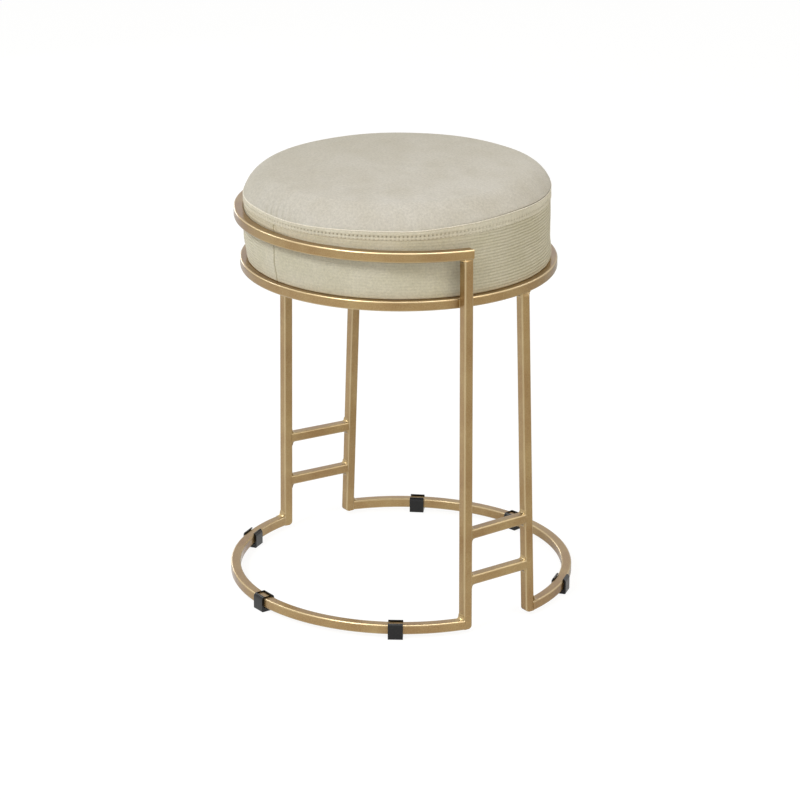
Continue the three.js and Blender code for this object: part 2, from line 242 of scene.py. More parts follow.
def store(piece: bpy.types.Object, name: str, values: np.ndarray) -> None:
    """Stores a number for each point of a piece, for its material to read."""
    attribute = piece.data.attributes.new(name, "FLOAT", "POINT")
    attribute.data.foreach_set("value", values.astype(np.float32).ravel())


@dataclass(frozen=True)
class Outline:
    """Closed outline of a tube's section, with the outward direction at each point."""

    points: np.ndarray
    outward: np.ndarray

    @classmethod
    def rounded_square(cls, side: float, radius: float, steps: int = 6) -> "Outline":
        """Square with rounded corners about (0, 0), counterclockwise.

        Each corner is a quarter circle, and one more point lies on each side of it, a tenth of
        the radius away on the flat, so that the flat faces stay flat when they are shaded
        smooth.

        Args:
            side: Width over the flats.
            radius: Radius of the corners.
            steps: Steps round each corner.

        Returns:
            The outline.
        """
        bend = np.concatenate([[0], quarter(steps + 1), [math.pi / 2]])
        angles = (np.arange(4)[:, None] * math.pi / 2 + bend).ravel()
        centres = np.repeat(np.arange(4) * math.pi / 2 + math.pi / 4, len(bend))
        outward = np.stack([np.cos(angles), np.sin(angles)], -1)
        middle = np.sign(np.stack([np.cos(centres), np.sin(centres)], -1)) * (side / 2 - radius)
        along = np.tile(np.concatenate([[-1], np.zeros(steps + 1), [1]]), 4) * radius / 10
        tangent = np.stack([-outward[:, 1], outward[:, 0]], -1)
        return cls(middle + radius * outward + tangent * along[:, None], outward)


class Nodes:
    """A node tree, with short ways to add the nodes that the finishes are made of."""

    def __init__(self, tree: bpy.types.NodeTree) -> None:
        """Empties a tree and takes it over."""
        tree.nodes.clear()
        self.tree = tree

    def add(self, kind: str, inputs: dict | None = None, **options: object) -> bpy.types.Node:
        """Adds a node, sets its options and fills or links its inputs.

        Args:
            kind: Blender's type name of the node, without the prefix ShaderNode.
            inputs: The node's inputs by name or number. A socket is linked, a value is set.
            **options: The node's options by name.

        Returns:
            The new node.
        """
        node = self.tree.nodes.new("ShaderNode" + kind)
        for name, value in options.items():
            setattr(node, name, value)
        for key, value in (inputs or {}).items():
            if isinstance(value, bpy.types.NodeSocket):
                self.tree.links.new(value, node.inputs[key])
            else:
                node.inputs[key].default_value = value
        return node

    @cached_property
    def place(self) -> bpy.types.NodeSocket:
        """The place on the object, in metres."""
        return self.add("TexCoord").outputs["Object"]

    def noise(self, size: float, detail: float, roughness: float = 0.5) -> bpy.types.NodeSocket:
        """Returns a cloudy noise whose patches are about as wide as the given size."""
        inputs = {"Vector": self.place, "Scale": 1 / size, "Detail": detail, "Roughness": roughness}
        return self.add("TexNoise", inputs).outputs["Fac"]

    def attribute(self, name: str) -> bpy.types.NodeSocket:
        """Returns a number that the mesh holds for each point."""
        return self.add("Attribute", attribute_name=name).outputs["Fac"]

    def math(self, operation: str, *values: Value) -> bpy.types.NodeSocket:
        """Returns what a maths node makes of its values."""
        return self.add("Math", dict(enumerate(values)), operation=operation).outputs[0]

    def spread(
        self, value: Value, low: float, high: float, new_low: float = 0.0, new_high: float = 1.0
    ) -> bpy.types.NodeSocket:
        """Stretches a value from one range to another.

        Args:
            value: The value.
            low: Where the first range starts.
            high: Where it ends.
            new_low: What its start becomes.
            new_high: What its end becomes.

        Returns:
            The new value, which stays inside the new range.
        """
        inputs = {"Value": value, "From Min": low, "From Max": high}
        return self.add("MapRange", inputs | {"To Min": new_low, "To Max": new_high}).outputs[0]

    def blend(
        self, share: Value, first: bpy.types.NodeSocket | str, second: bpy.types.NodeSocket | str
    ) -> bpy.types.NodeSocket:
        """Mixes two colours.

        Args:
            share: Share of the second colour.
            first: Hex colour or socket.
            second: Hex colour or socket.

        Returns:
            The mixed colour.
        """
        pair = [linear(colour) if isinstance(colour, str) else colour for colour in (first, second)]
        inputs = {"Factor": share, "A": pair[0], "B": pair[1]}
        return self.add("Mix", inputs, data_type="RGBA").outputs[2]

    def bump(self, height: Value, distance: float, strength: float) -> bpy.types.NodeSocket:
        """Returns the surface's direction over bumps of the given height."""
        inputs = {"Height": height, "Distance": distance, "Strength": strength}
        return self.add("Bump", inputs).outputs[0]

    def mixed(self, share: Value, first: bpy.types.Node, second: bpy.types.Node) -> bpy.types.Node:
        """Returns a mix of two shaders by the share of the second."""
        return self.add("MixShader", {0: share, 1: first.outputs[0], 2: second.outputs[0]})

    def end(self, shader: bpy.types.Node, kind: str = "OutputMaterial") -> None:
        """Leads a shader to the tree's output."""
        self.add(kind, {"Surface": shader.outputs[0]})


@dataclass(frozen=True)
class Finish:
    """A named finish that draws itself in the nodes of a material."""

    name: str

    def build(self) -> bpy.types.Material:
        """Returns the finish as a new material."""
        material = bpy.data.materials.new(self.name)
        material.use_nodes = True
        nodes = Nodes(material.node_tree)
        nodes.end(nodes.add("BsdfPrincipled", self.surface(nodes)))
        return material

    def surface(self, nodes: Nodes) -> dict:
        """Returns the inputs of the surface's shader by name, which each finish gives itself."""
        raise NotImplementedError


@dataclass(frozen=True)
class PowderCoat(Finish):
    """Champagne gold powder coat, baked on mild steel tube.

    The powder holds fine metal flake in a clear resin. It gives a satin, slightly grainy gold
    that is brightest where it faces the light, and a faint orange peel in the highlights.
    """

    name: str = "champagne_powder_coat_on_steel"
    colour: str = "#B09665"
    shade: str = "#967446"
    # The flake turns brown where it is seen along the surface
    edge_tint: str = "#8A7550"
    metallic: float = 0.8
    roughness: float = 0.36
    # Painted highlight: the arrises are mixed towards this pale colour, standing in for the bright
    # line that light draws along the rounded edges
    arris: str = "#E6D7B0"
    painted_highlight_share: float = 0.42
    # The clear resin over the flake gives the pale glare on the tops
    resin: float = 0.9
    resin_roughness: float = 0.2
    # Flake is about 0.05 mm across. It is drawn at 1 mm, so that it shows in the render.
    flake_size: float = 1.0 * MM
    cloud_size: float = 40 * MM
    peel_size: float = 2.2 * MM
    peel_height: float = 0.02 * MM
    peel_strength: float = 0.6

    def surface(self, nodes: Nodes) -> dict:
        """Returns flake and clouds as the colour with a painted highlight along the arrises, and
        orange peel as the bump.
        """
        grain = nodes.math("ADD", nodes.noise(self.flake_size, 2), nodes.noise(self.cloud_size, 3))
        flake = nodes.blend(nodes.spread(grain, 0.7, 1.3), self.shade, self.colour)
        # Painted highlight, strongest in the middle of each arris
        painted_edge_highlight = nodes.math("MULTIPLY", nodes.attribute("arris"), self.painted_highlight_share)
        peel = nodes.noise(self.peel_size, 1)
        return {
            "Base Color": nodes.blend(painted_edge_highlight, flake, self.arris),
            "Metallic": self.metallic,
            "Roughness": self.roughness,
            "Specular Tint": linear(self.edge_tint),
            "Coat Weight": self.resin,
            "Coat Roughness": self.resin_roughness,
            "Normal": nodes.bump(peel, self.peel_height, self.peel_strength),
        }


@dataclass(frozen=True)
class Velvet(Finish):
    """Polyester upholstery velvet with a short pile, woven and then brushed.

    The pile gives a soft matt face with a pale edge of sheen, and lies in cloudy patches that
    are a little lighter or darker. The mesh's attribute named valley mixes the colour towards
    the valley colour: painted shade in rib grooves, dimples, the seam's valley, fold hollows
    and on the far side of the top.
    """

    colour: str
    patch: str
    # Colour of the painted shade that the attribute named valley mixes in
    valley: str
    roughness: float = 0.92
    sheen: float = 0.25
    sheen_roughness: float = 0.45
    sheen_tint: str = "#F4F1E8"
    specular: float = 0.2
    # Pile tufts are about 0.3 mm. They are drawn at 0.9 mm, so that they show in the render.
    tuft_size: float = 0.9 * MM
    tuft_height: float = 0.12 * MM
    tuft_strength: float = 0.8
    patch_size: float = 34 * MM
    # Crushed spots of the pile, two or three millimetres across, give the fine mottling
    spot_size: float = 2.6 * MM
    mottling: tuple[float, float] = (0.89, 1.09)

    def surface(self, nodes: Nodes) -> dict:
        """Returns patches, painted valley shade and mottling as the colour, and tufts as the bump.
        """
        tuft = nodes.noise(self.tuft_size, 3, 0.6)
        grain = nodes.math("ADD", tuft, nodes.noise(self.spot_size, 2))
        patches = nodes.spread(nodes.noise(self.patch_size, 4), 0.3, 0.7)
        face = nodes.blend(patches, self.colour, self.patch)
        # Painted shade, by the attribute named valley
        cord = nodes.blend(nodes.attribute("valley"), face, self.valley)
        level = nodes.spread(grain, 0.75, 1.25, *self.mottling)
        mottled = nodes.add("VectorMath", {0: cord, "Scale": level}, operation="SCALE")
        return {
            "Base Color": mottled.outputs[0],
            "Roughness": self.roughness,
            "Sheen Weight": self.sheen,
            "Sheen Roughness": self.sheen_roughness,
            "Sheen Tint": linear(self.sheen_tint),
            "Specular IOR Level": self.specular,
            "Normal": nodes.bump(tuft, self.tuft_height, self.tuft_strength),
        }


@dataclass(frozen=True)
class Speckled(Finish):
    """A plain finish with a fine grain in its colour and its surface.

    It serves moulded plastic, sewing thread, zinc plate, foam and lining, which differ in
    colour, gloss, metal and the size of their grain.
    """

    colour: str
    grain_colour: str
    grain_size: float
    grain_height: float
    roughness: float
    metallic: float = 0.0
    specular: float = 0.5
    grain_strength: float = 0.7

    def surface(self, nodes: Nodes) -> dict:
        """Returns one noise as both the colour and the bump."""
        grain = nodes.noise(self.grain_size, 3)
        speckle = nodes.spread(grain, 0.35, 0.65)
        return {
            "Base Color": nodes.blend(speckle, self.colour, self.grain_colour),
            "Roughness": self.roughness,
            "Metallic": self.metallic,
            "Specular IOR Level": self.specular,
            "Normal": nodes.bump(grain, self.grain_height, self.grain_strength),
        }


@dataclass(frozen=True)
class Plywood(Finish):
    """Poplar plywood, sawn to a disc and left bare.

    The faces show long pale grain, and the sawn edge shows its plies as light and dark lines.
    """

    name: str = "bare_poplar_plywood"
    colour: str = "#D2B48A"
    grain_colour: str = "#B48C5C"
    roughness: float = 0.7
    ply: float = 1.7 * MM
    grain_width: float = 3 * MM
    grain_length: float = 60 * MM
    # Blender's wave texture repeats after this length at a scale of one
    wave_length: float = 0.314

    def surface(self, nodes: Nodes) -> dict:
        """Returns stretched noise for the grain, and a wave along Z for the plies."""
        scale = (1 / self.grain_length, 1 / self.grain_width, 0.5 / self.ply)
        stretched = nodes.add("Mapping", {"Vector": nodes.place, "Scale": scale}).outputs[0]
        grain = nodes.add("TexNoise", {"Vector": stretched, "Scale": 1.0, "Detail": 4.0})
        plies = nodes.add("TexWave", {
            "Vector": nodes.place, "Scale": self.wave_length / self.ply, "Distortion": 0.0,
        }, bands_direction="Z")
        both = nodes.math("MULTIPLY", grain.outputs["Fac"], plies.outputs["Fac"])
        return {
            "Base Color": nodes.blend(both, self.colour, self.grain_colour),
            "Roughness": self.roughness,
        }


POWDER_COAT = PowderCoat()
# Over a weld the resin pools, so the beads are glossier than the tube; their paler colour is a
# painted highlight that makes them stand out as bright spots.
WELD_COAT = PowderCoat(
    "champagne_powder_coat_over_welds", "#BDA473", "#A78B58", roughness=0.3, resin_roughness=0.14
)
# The third colour of each velvet is its painted shade, which the attribute named valley mixes in
TOP_VELVET = Velvet("cream_brushed_velvet", "#CDC9C0", "#C4BFB3", "#A09A84")
SIDE_VELVET = Velvet("cream_ribbed_velvet", "#D0CBB9", "#C6C1AB", "#958C6C", tuft_size=1.1 * MM)
WELT_VELVET = Velvet("cream_velvet_sewn_flat", "#D6D1C0", "#CBC5B2", "#7F765B", tuft_size=1.1 * MM)
# Spun polyester sewing thread: matt, a little paler than the cloth it sews.
THREAD = Speckled("cream_spun_polyester_thread", "#DDD8C8", "#C9C3B0", 0.8 * MM, 0.03 * MM, 0.8)
# Velvet folded over a fine cord. Its pale colour is a painted highlight: the line of light along
# the sewn edge.
CORD_PAINTED_HIGHLIGHT = Speckled("cream_velvet_over_a_cord_painted_highlight", "#F4EFE3", "#DFD9C8", 1.6 * MM, 0.1 * MM, 0.7)
# Moulded polypropylene: near black, satin, with a fine spark-eroded grain.
CLIP_PLASTIC = Speckled(
    "black_moulded_polypropylene", "#060606", "#0B0B0B", 0.7 * MM, 0.02 * MM, 0.2, specular=0.42
)
# Bright zinc plate on steel: cold grey with a faint milky bloom.
ZINC = Speckled("bright_zinc_plate_on_steel", "#B9BCC0", "#A9ACB0", 1.5 * MM, 0.004 * MM, 0.3, 1.0)
# Cut polyurethane foam: pale yellow with open cells.
FOAM = Speckled("cut_polyurethane_foam", "#E8DDAE", "#D6C88F", 1.2 * MM, 0.3 * MM, 0.95)
# Spun-bonded polypropylene lining: black, felt-like, with a pressed dot grain.
LINING = Speckled("black_spun_bonded_lining", "#1C1C1E", "#2C2C2F", 1.6 * MM, 0.08 * MM, 0.9)
PLYWOOD = Plywood()


class Wardrobe:
    """Builds each finish once and puts it on pieces."""

    def __init__(self) -> None:
        """Starts with no material built."""
        self.built: dict[str, bpy.types.Material] = {}

    def dress(self, piece: bpy.types.Object, finish: Finish) -> None:
        """Gives a piece one finish all over.

        Args:
            piece: A new piece or a construction node.
            finish: Its finish.
        """
        if finish.name not in self.built:
            self.built[finish.name] = finish.build()
        for slot in piece.material_slots:
            slot.material = self.built[finish.name]
        if not piece.material_slots:
            piece.data.materials.append(self.built[finish.name])

    def place(self, piece: bpy.types.Object, finish: Finish, slot: Slot, *nodes: str) -> None:
        """Dresses a new piece, lets it ride on the stool and stand for construction nodes.

        Args:
            piece: The new piece.
            finish: Its finish.
            slot: The record's material slot that it belongs to. It is not used.
            *nodes: Names of the nodes that it stands for.
        """
        self.dress(piece, finish)
        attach(piece, BODY)
        if nodes:
            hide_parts(*nodes)
        LOG.info("%s: %d faces", piece.name, len(piece.data.polygons))


@dataclass(frozen=True)
class Hoop:
    """A tube bent to a circle: its centre line's radius and middle along Y, and its underside."""

    radius: float
    centre_y: float
    bottom: float


@dataclass
class TubeFrame:
    """Welded frame of square steel tube: two base arcs, four legs, four rungs, ring and rail."""

    wardrobe: Wardrobe
    edge_radius: float = 2.0 * MM
    end_bevel: float = 0.4 * MM
    foot_radius: float = 4 * MM
    arc_steps: int = 180
    rung_steps: int = 24
    leg_steps: int = 40
    foot_steps: int = 7
    # The construction leaves this gap between welded pieces
    weld_gap: float = 0.3 * MM
    # A tube's end reaches beside the rounded edges of what it meets, as the ground weld does
    edge_sink: float = 1.9 * MM
    # A leg's top is ground back to the hoop's face from this far under it. The rings of points
    # stand close together there, at these distances from the top.
    ground_length: float = 4 * MM
    ground_depth: float = 0.15 * MM
    ground_ease: float = 0.8
    ground_rings: tuple[float, ...] = (5 * MM, 4 * MM, 3 * MM, 2.5 * MM, 1.6 * MM, 0.8 * MM, 0.0)
    plain_end: float = 8 * MM
    # Legs of the weld fillets: full ones, full ones at the base, and where the tubes are flush
    weld_leg: float = 4.8 * MM
    base_weld_leg: float = 7 * MM
    flush_weld_leg: float = -0.4 * MM
    least_weld_leg: float = 0.05 * MM
    weld_falloff: float = 8
    weld_steps: int = 7
    weld_sharp: float = 60
    weld_sink: float = 0.45 * MM
    ripple_pitch: float = 1.9 * MM
    ripple_share: float = 0.1
    # Beads: how far each lies inside the leg's side, and its radius
    rear_bead: tuple[float, float] = (1.2 * MM, 1.3 * MM)
    front_bead: tuple[float, float] = (2.4 * MM, 1.7 * MM)
    bead_sides: int = 12
    bead_reach: float = 0.42
    bead_steps: int = 25
    tab_bead: tuple[float, float] = (0.4 * MM, 1.5 * MM)
    tab_bead_reach: float = 0.46
    tab_bead_steps: int = 40
    welds: list[Solid] = field(default_factory=list)

    def __post_init__(self) -> None:
        """Reads the tube's size and the places of the hoops from the construction.

        The rail is less than half a circle. Its outer radius is half of its half width squared
        plus its depth squared, over its depth.
        """
        low, high = corners("seat_ring")
        self.tube = float(high[2] - low[2])
        self.half = self.tube / 2
        self.section = Outline.rounded_square(self.tube, self.edge_radius)
        middle_y = float(high[1] + low[1]) / 2
        self.ring = Hoop(float(high[1] - low[1]) / 2 - self.half, middle_y, float(low[2]))
        low, high = corners("base_arc_front")
        self.base = Hoop(float(-low[1]) - self.half, 0.0, float(low[2]))
        low, high = corners("cushion_rail")
        depth = high[1] - low[1]
        reach = float((high[0] ** 2 + depth ** 2) / (2 * depth))
        self.rail = Hoop(reach - self.half, float(low[1]) + reach, float(low[2]))

    def tube_piece(self, node: str, grid: np.ndarray, wrap_rows: bool = False) -> None:
        """Makes a tube's piece and stores how near each point is to the middle of an arris, where
        its finish paints a highlight.

        From zero on the flats to one, it is the sine of twice the outward direction's angle,
        to the power 1.5.

        Args:
            node: Construction node that the tube stands for.
            grid: The tube's rings.
            wrap_rows: True for a closed hoop.
        """
        piece = add_mesh(f"{node}_tube", grid_solid(grid, wrap_rows))
        across, along = self.section.outward.T
        store(piece, "arris", np.tile(np.abs(2 * across * along) ** 1.5, len(grid)))
        self.wardrobe.place(piece, POWDER_COAT, Slot.FRAME, node)

    def hoop_grid(self, hoop: Hoop, start: np.ndarray, end: np.ndarray) -> np.ndarray:
        """Square tube bent to a circle about Z.

        A point of the section lies at the hoop's radius plus its own offset. It turns about Z
        from its own start angle to its own end angle, so that a cut end can be a plane that
        doesn't pass through the centre.

        Args:
            hoop: The circle.
            start: Start angle of each point of the section.
            end: End angle of each point of the section.

        Returns:
            The grid of rings along the hoop.
        """
        reach = hoop.radius + self.section.points[:, 0]
        height = hoop.bottom + self.half + self.section.points[:, 1]
        turn = start + (end - start) * np.linspace(0, 1, self.arc_steps + 1)[:, None]
        heights = np.broadcast_to(height, turn.shape)
        return np.stack([reach * np.cos(turn), hoop.centre_y + reach * np.sin(turn), heights], -1)

    def bevelled(self, grid: np.ndarray) -> np.ndarray:
        """Adds a small bevel to both ends of a tube.

        At each end one more ring lies in the plane of the end, drawn in towards its middle by
        the bevel, and the ring beside it moves back along the tube by the bevel.

        Args:
            grid: The tube's rings.

        Returns:
            The rings with two more.
        """
        rings = []
        for end, beside in ((grid[0], grid[1]), (grid[-1], grid[-2])):
            middle = end.mean(0)
            step = beside - end
            step /= np.linalg.norm(step, axis=1, keepdims=True)
            share = 1 - self.end_bevel / self.half
            rings.append((middle + (end - middle) * share, end + step * self.end_bevel))
        (first_cap, first), (last_cap, last) = rings
        return np.concatenate([[first_cap, first], grid[1:-1], [last, last_cap]])

    def arc(self, node: str, hoop: Hoop, plane_y: float, side: int) -> None:
        """Makes the part of a hoop that lies beyond a plane of constant Y.

        The end angle of each point of the section is the arc sine of the plane's distance from
        the centre over the point's own radius.

        Args:
            node: Construction node that it stands for.
            hoop: The circle.
            plane_y: Where the plane lies.
            side: 1 for the part behind the plane, and -1 for the part in front of it.
        """
        reach = hoop.radius + self.section.points[:, 0]
        rise = np.arcsin(side * (plane_y - hoop.centre_y) / reach)
        grid = self.hoop_grid(hoop, side * rise, side * (math.pi - rise))
        self.tube_piece(node, self.bevelled(grid))

    def hoops(self) -> None:
        """Makes the two base arcs, which end in the legs, the rail and the closed seat ring."""
        for name, side, end in (("front", -1, 1), ("rear", 1, 0)):
            node = f"base_arc_{name}"
            self.arc(node, self.base, corners(node)[end][1] - side * self.edge_sink, side)
        self.arc("cushion_rail", self.rail, corners("cushion_rail")[1][1], -1)
        start = np.zeros(len(self.section.points))
        self.tube_piece("seat_ring", self.hoop_grid(self.ring, start, start + FULL_TURN)[:-1], True)

    def leg_line(self, node: str) -> tuple[np.ndarray, np.ndarray]:
        """Finds where a leg's centre line starts and ends.

        The leg's box is as wide along X as its lean plus the tube, and a leg leans inwards.

        Args:
            node: The leg.

        Returns:
            The foot and the top of the centre line.
        """
        low, high = corners(node)
        side = math.copysign(1.0, low[0] + high[0])
        outer, inner = (high[0], low[0]) if side > 0 else (low[0], high[0])
        middle_y = (low[1] + high[1]) / 2
        foot = np.array([outer - side * self.half, middle_y, low[2]])
        return foot, np.array([inner + side * self.half, middle_y, high[2]])

    def ground(self, grid: np.ndarray, hoop: Hoop) -> np.ndarray:
        """Grinds a leg's top, or its weld, back to the outer face of the hoop on it.

        Near the hoop, a point that lies further from the hoop's axis than its outer face is
        drawn in to it. The limit eases off by 0.8 mm for each millimetre downwards.

        Args:
            grid: Rings of points.
            hoop: The hoop.

        Returns:
            The ground rings.
        """
        below = np.clip(hoop.bottom - grid[..., 2], 0, None)
        limit = hoop.radius + self.half - self.ground_depth + self.ground_ease * below
        limit = np.where(grid[..., 2] > hoop.bottom - self.ground_length, limit, UNLIMITED)
        away = np.hypot(grid[..., 0], grid[..., 1] - hoop.centre_y)
        middle = np.array([0, hoop.centre_y])
        drawn_in = middle + (grid[..., :2] - middle) * np.minimum(limit / away, 1)[..., None]
        return np.concatenate([drawn_in, grid[..., 2:]], -1)

    def leg(self, node: str, gap_side: int, hoop: Hoop) -> None:
        """Makes a leg: the section carried up its leaning centre line and kept level.

        Near the foot, the side that faces the other leg of the pair is drawn in along a
        quarter circle, as the mitred and dressed corner of the tube is.

        Args:
            node: The leg.
            gap_side: 1 if the other leg of the pair lies towards +Y, and -1 otherwise.
            hoop: What the leg carries.
        """
        foot, top = self.leg_line(node)
        length = top[2] - foot[2] + self.edge_sink
        radius = self.foot_radius
        middle = np.linspace(2 * radius, length - self.plain_end, self.leg_steps)
        low = radius * (1 - np.cos(quarter(self.foot_steps)))
        rise = np.concatenate([low, middle, length - np.array(self.ground_rings)])
        to_go = radius - np.minimum(rise, radius)
        drawn_in = radius - np.sqrt(np.clip(radius ** 2 - to_go ** 2, 0, None))
        lean = (top[0] - foot[0]) / (top[2] - foot[2])
        across, along = self.section.points.T
        share = (1 - drawn_in / self.tube)[:, None]
        grid_x = foot[0] + lean * rise[:, None] + across
        grid_y = foot[1] + along * share - gap_side * drawn_in[:, None] / 2
        grid_z = np.broadcast_to((foot[2] + rise)[:, None], grid_x.shape)
        grid = self.bevelled(np.stack([grid_x, grid_y, grid_z], -1))
        self.tube_piece(node, self.ground(grid, hoop))

    def rung(self, node: str) -> None:
        """Makes a rung with its two welds: the section carried level from leg to leg.

        Args:
            node: The rung.
        """
        low, high = corners(node)
        side = math.copysign(1.0, low[0] + high[0])
        front_x = side * (max(abs(low[0]), abs(high[0])) - self.half)
        rear_x = side * (min(abs(low[0]), abs(high[0])) + self.half)
        share = np.linspace(0, 1, self.rung_steps)[:, None]
        across, upward = self.section.points.T
        grid_x = front_x + (rear_x - front_x) * share + across
        start, end = low[1] - self.edge_sink, high[1] + self.edge_sink
        grid_y = np.broadcast_to(start + (end - start) * share, grid_x.shape)
        middle_z = (low[2] + high[2]) / 2
        grid_z = np.broadcast_to(middle_z + upward, grid_x.shape)
        self.tube_piece(node, np.stack([grid_x, grid_y, grid_z], -1))
        upright = np.array([[1.0, 0, 0], UP])
        for face_y, x, away in ((low[1], front_x, 1.0), (high[1], rear_x, -1.0)):
            centre = np.array([x, face_y - away * self.weld_gap, middle_z])
            self.fillet(centre, upright, np.array([0, away, 0]), FullSide.BOTH, self.weld_leg)

    def fillet(
        self, centre: np.ndarray, plane: np.ndarray, away: np.ndarray, full: FullSide,
        full_leg: float, hoop: Hoop | None = None,
    ) -> None:
        """Adds a weld fillet round the end of a tube that meets a flat face.

        Round the section's outline, the fillet's face is a concave quarter circle from the flat
        face to the tube. Its leg is full where the outline faces the full side, and only flush
        where the two tubes' sides line up. Between them it goes with the eighth power of the
        outward direction's part. Ripples of the weld pool add a small share to the leg.

        Args:
            centre: Middle of the tube's end on the flat face.
            plane: The two directions that the section's own two axes take.
            away: Direction along the tube, away from the flat face.
            full: Where the fillet is full.
            full_leg: The full leg.
            hoop: A hoop whose outer face the fillet is ground to, if there is one.
        """
        points, outward = self.section.points, self.section.outward
        if full is FullSide.BOTH:
            facing = np.abs(outward[:, 1])
        else:
            facing = np.clip(outward[:, 1] * full.value, 0, None)
        step = np.linalg.norm(np.roll(points, -1, 0) - points, axis=1)
        length = np.concatenate([[0], np.cumsum(step)[:-1]])
        ripples = 1 + self.ripple_share * np.sin(FULL_TURN * length / self.ripple_pitch)
        rise = (full_leg - self.flush_weld_leg) * facing ** self.weld_falloff
        leg = np.maximum((self.flush_weld_leg + rise) * ripples, self.least_weld_leg)[:, None]
        # After the points of the curved face come three that lie sunk in the two tubes
        bend, face = quarter(self.weld_steps), np.zeros(self.weld_steps)
        out = leg * np.concatenate([1 - np.sin(bend), [0, 0, 1]])
        out = out - np.concatenate([face, [1, 1, 0]]) * self.weld_sink
        along = leg * np.concatenate([1 - np.cos(bend), [1, 0, 0]])
        along = along - np.concatenate([face, [0, 1, 1]]) * self.weld_sink
        edge, sideways = (points @ plane)[:, None], (outward @ plane)[:, None]
        grid = centre + edge + sideways * out[..., None] + away * along[..., None]
        self.welds.append(grid_solid(self.ground(grid, hoop) if hoop else grid, wrap_rows=True))

    def bead(self, path: np.ndarray, radius: float) -> None:
        """Adds a weld bead: a rippled round bar along a short straight path.

        The radius is the given one times the eighth-power round-off towards both ends and the
        ripples of the weld pool.

        Args:
            path: Points of the middle line.
            radius: Radius of the bar.
        """
        share = np.linspace(0, 1, len(path))
        way = path[-1] - path[0]
        length = np.linalg.norm(way)
        way /= length
        round_off = np.sqrt(np.clip(1 - np.abs(2 * share - 1) ** 8, 0.02, None))
        ripples = 1 + self.ripple_share * np.sin(FULL_TURN * share * length / self.ripple_pitch)
        # Any direction that isn't the path's own gives one across it
        across = np.cross(way, [0.31, 0.52, 0.79])
        across /= np.linalg.norm(across)
        turn = circle(self.bead_sides)[:, None]
        ring = np.cos(turn) * across + np.sin(turn) * np.cross(way, across)
        radii = (radius * round_off * ripples)[:, None, None]
        self.welds.append(grid_solid(path[:, None] + ring * radii))

    def leg_welds(self) -> None:
        """Welds the base arcs to the feet, and the legs to the rail and the seat ring."""
        upright = np.array([[1.0, 0, 0], UP])
        level = np.array([[1.0, 0, 0], [0, 1.0, 0]])
        for name, gap_side, hoop, full in (
            ("front", 1, self.rail, FullSide.MINUS), ("rear", -1, self.ring, FullSide.BOTH),
        ):
            for word in SIDES:
                foot, top = self.leg_line(f"{name}_leg_{word}")
                beside_y = foot[1] - gap_side * self.half
                base_end = np.array([foot[0], beside_y, self.base.bottom + self.half])
                along = np.array([0, -gap_side, 0])
                self.fillet(base_end, upright, along, FullSide.PLUS, self.base_weld_leg)
                self.fillet(top + UP * self.weld_gap, level, -UP, full, self.weld_leg, hoop)

    def ring_welds(self) -> None:
        """Runs two upright beads between the seat ring and each front leg."""
        reach, height = self.ring.radius + self.half, self.ring.bottom + self.half
        steps = np.linspace(-self.bead_reach, self.bead_reach, self.bead_steps)
        rise = steps[:, None] * self.tube * UP
        for word in SIDES:
            foot, top = self.leg_line(f"front_leg_{word}")
            side = math.copysign(1.0, foot[0])
            share = (height - foot[2]) / (top[2] - foot[2])
            face_x = foot[0] + (top[0] - foot[0]) * share - side * self.half
            for back, (inset, radius) in ((1, self.rear_bead), (-1, self.front_bead)):
                edge_y = foot[1] + back * (self.half - inset)
                ring_x = side * math.sqrt(reach ** 2 - (edge_y - self.ring.centre_y) ** 2)
                self.bead(np.array([(face_x + ring_x) / 2, edge_y, height]) + rise, radius)

    def tab_welds(self) -> None:
        """Runs a bead across each seat tab where it meets the inside of the ring."""
        inset, radius = self.tab_bead
        share = np.linspace(-self.tab_bead_reach, self.tab_bead_reach, self.tab_bead_steps)
        for tab in (f"seat_tab_{number}" for number in range(1, 5)):
            low, high = corners(tab)
            middle = (low + high) / 2
            out = np.array([middle[0], middle[1] - self.ring.centre_y, 0.0])
            out /= np.linalg.norm(out)
            across = np.cross(UP, out)
            axis = np.array([0, self.ring.centre_y, low[2]])
            end = axis + out * (self.ring.radius - self.half - inset)
            self.bead(end + across * share[:, None] * np.abs((high - low) @ across), radius)
            self.wardrobe.dress(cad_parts[tab], POWDER_COAT)

    def build(self) -> None:
        """Makes every tube and then the welds as one piece."""
        self.hoops()
        for word in SIDES:
            self.leg(f"front_leg_{word}", 1, self.rail)
            self.leg(f"rear_leg_{word}", -1, self.ring)
            for level in ("lower", "upper"):
                self.rung(f"rung_{word}_{level}")
        self.leg_welds()
        self.ring_welds()
        self.tab_welds()
        piece = add_mesh("frame_welds", joined(self.welds), self.weld_sharp)
        self.wardrobe.place(piece, WELD_COAT, Slot.FRAME)


